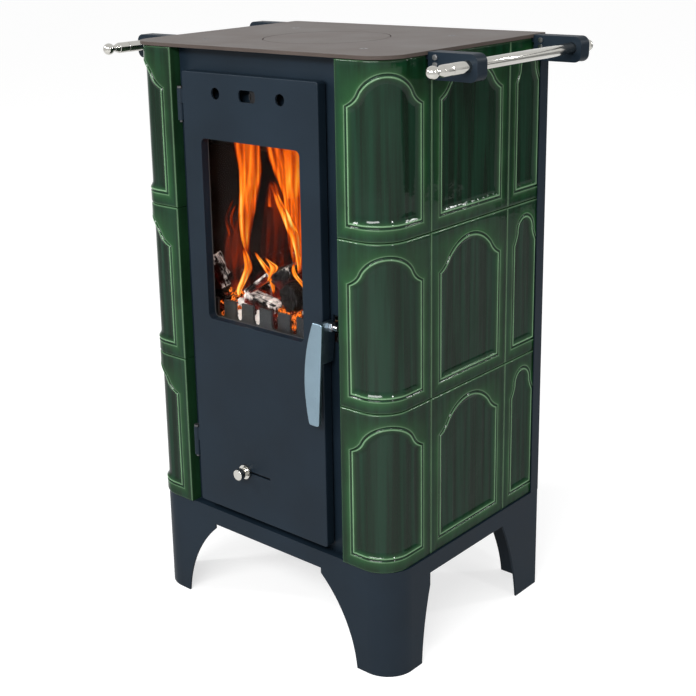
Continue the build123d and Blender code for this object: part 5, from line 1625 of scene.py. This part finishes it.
def photo_camera(settings):
    """Camera at the photograph's place, turned by its heading, tilt and roll."""
    camera = bpy.data.cameras.new("camera")
    camera.lens = settings.lens
    camera.shift_x, camera.shift_y = settings.shift
    camera.clip_end = 200.0
    heading, tilt, roll = settings.camera_turn
    ahead = Vector((-math.sin(heading) * math.cos(tilt), math.cos(heading) * math.cos(tilt),
                    math.sin(tilt)))
    level = Vector((math.cos(heading), math.sin(heading), 0.0))
    upright = level.cross(ahead)
    right = math.cos(roll) * level + math.sin(roll) * upright
    up = -math.sin(roll) * level + math.cos(roll) * upright
    place = settings.camera_place
    eye = new_object("camera", camera)
    eye.matrix_world = Matrix(((right.x, up.x, -ahead.x, place[0]),
                               (right.y, up.y, -ahead.y, place[1]),
                               (right.z, up.z, -ahead.z, place[2]),
                               (0.0, 0.0, 0.0, 1.0)))
    return eye


class STOVE_OT_stage(bpy.types.Operator):
    """Lay the pale floor and set up the boards, world, lamps and camera"""

    bl_idname = "stove.stage"
    bl_label = "Stage"

    def execute(self, context):
        s = context.scene.stove_stage
        pale_floor(s.floor_size, s.floor_colour, s.floor_fill)
        reflection_board("dark_board", left=0.0, right=4.0, distance=2.2, bottom=1.42,
                         top=1.62, shade=0.02)
        reflection_board("grey_board", left=0.0, right=4.0, distance=2.3, bottom=0.05,
                         top=0.80, shade=0.40)
        area_lamp("left_window", (-2.2, -2.1, 2.6), width=0.5, height=0.6, power=52)
        area_lamp("near_window", (0.60, -2.25, 1.90), width=2.00, height=0.50, power=76)
        area_lamp("right_window", (2.45, -0.40, 1.9), width=0.10, height=0.50, power=13)
        area_lamp("rear_window", (2.0, 2.65, 2.0), width=0.14, height=0.80, power=24)
        context.scene.world = studio_world(s.ambient)
        context.scene.camera = photo_camera(s)
        context.scene.view_settings.view_transform = "Standard"
        return {"FINISHED"}


# ------------------------------------------------------------------------------------------
# Panel and registration
# ------------------------------------------------------------------------------------------

class STOVE_PT_tools(bpy.types.Panel):
    """Lists the stove's pieces"""

    bl_label = "Tiled stove"
    bl_idname = "STOVE_PT_tools"
    bl_space_type = "VIEW_3D"
    bl_region_type = "UI"
    bl_category = "Stove"

    def draw(self, context):
        layout = self.layout
        for operator in piece_operators:
            layout.operator(operator.bl_idname)
        for group in settings_groups:
            settings = getattr(context.scene, group)
            box = layout.box()
            box.label(text=settings_groups[group].__doc__)
            for key in settings_groups[group].__annotations__:
                box.prop(settings, key)


piece_operators = (STOVE_OT_glazed_tiles, STOVE_OT_painted_steel, STOVE_OT_rails,
                   STOVE_OT_bare_metal, STOVE_OT_fire_lining, STOVE_OT_rope_seal,
                   STOVE_OT_log_fire, STOVE_OT_flames, STOVE_OT_stage)
settings_groups = {"stove_glaze": StoveGlazeSettings, "stove_steel": StoveSteelSettings,
                   "stove_fire": StoveFireSettings, "stove_rope": StoveRopeSettings,
                   "stove_stage": StoveStageSettings}


def register():
    """Registers settings, operators and panel."""
    for group in settings_groups.values():
        bpy.utils.register_class(group)
    for operator in piece_operators:
        bpy.utils.register_class(operator)
    bpy.utils.register_class(STOVE_PT_tools)
    for name, group in settings_groups.items():
        setattr(bpy.types.Scene, name, bpy.props.PointerProperty(type=group))


def unregister():
    """Takes away what register added."""
    for name in settings_groups:
        delattr(bpy.types.Scene, name)
    bpy.utils.unregister_class(STOVE_PT_tools)
    for operator in reversed(piece_operators):
        bpy.utils.unregister_class(operator)
    for group in reversed(list(settings_groups.values())):
        bpy.utils.unregister_class(group)


def main():
    """Builds the whole scene."""
    register()
    make_grain_group()
    make_streak_group()
    make_soft_edge_group()
    bpy.ops.stove.stage()
    bpy.ops.stove.glazed_tiles()
    bpy.ops.stove.painted_steel()
    bpy.ops.stove.rails()
    bpy.ops.stove.bare_metal()
    bpy.ops.stove.fire_lining()
    bpy.ops.stove.rope_seal()
    bpy.ops.stove.log_fire()
    bpy.ops.stove.flames()


if __name__ == "__main__":
    main()
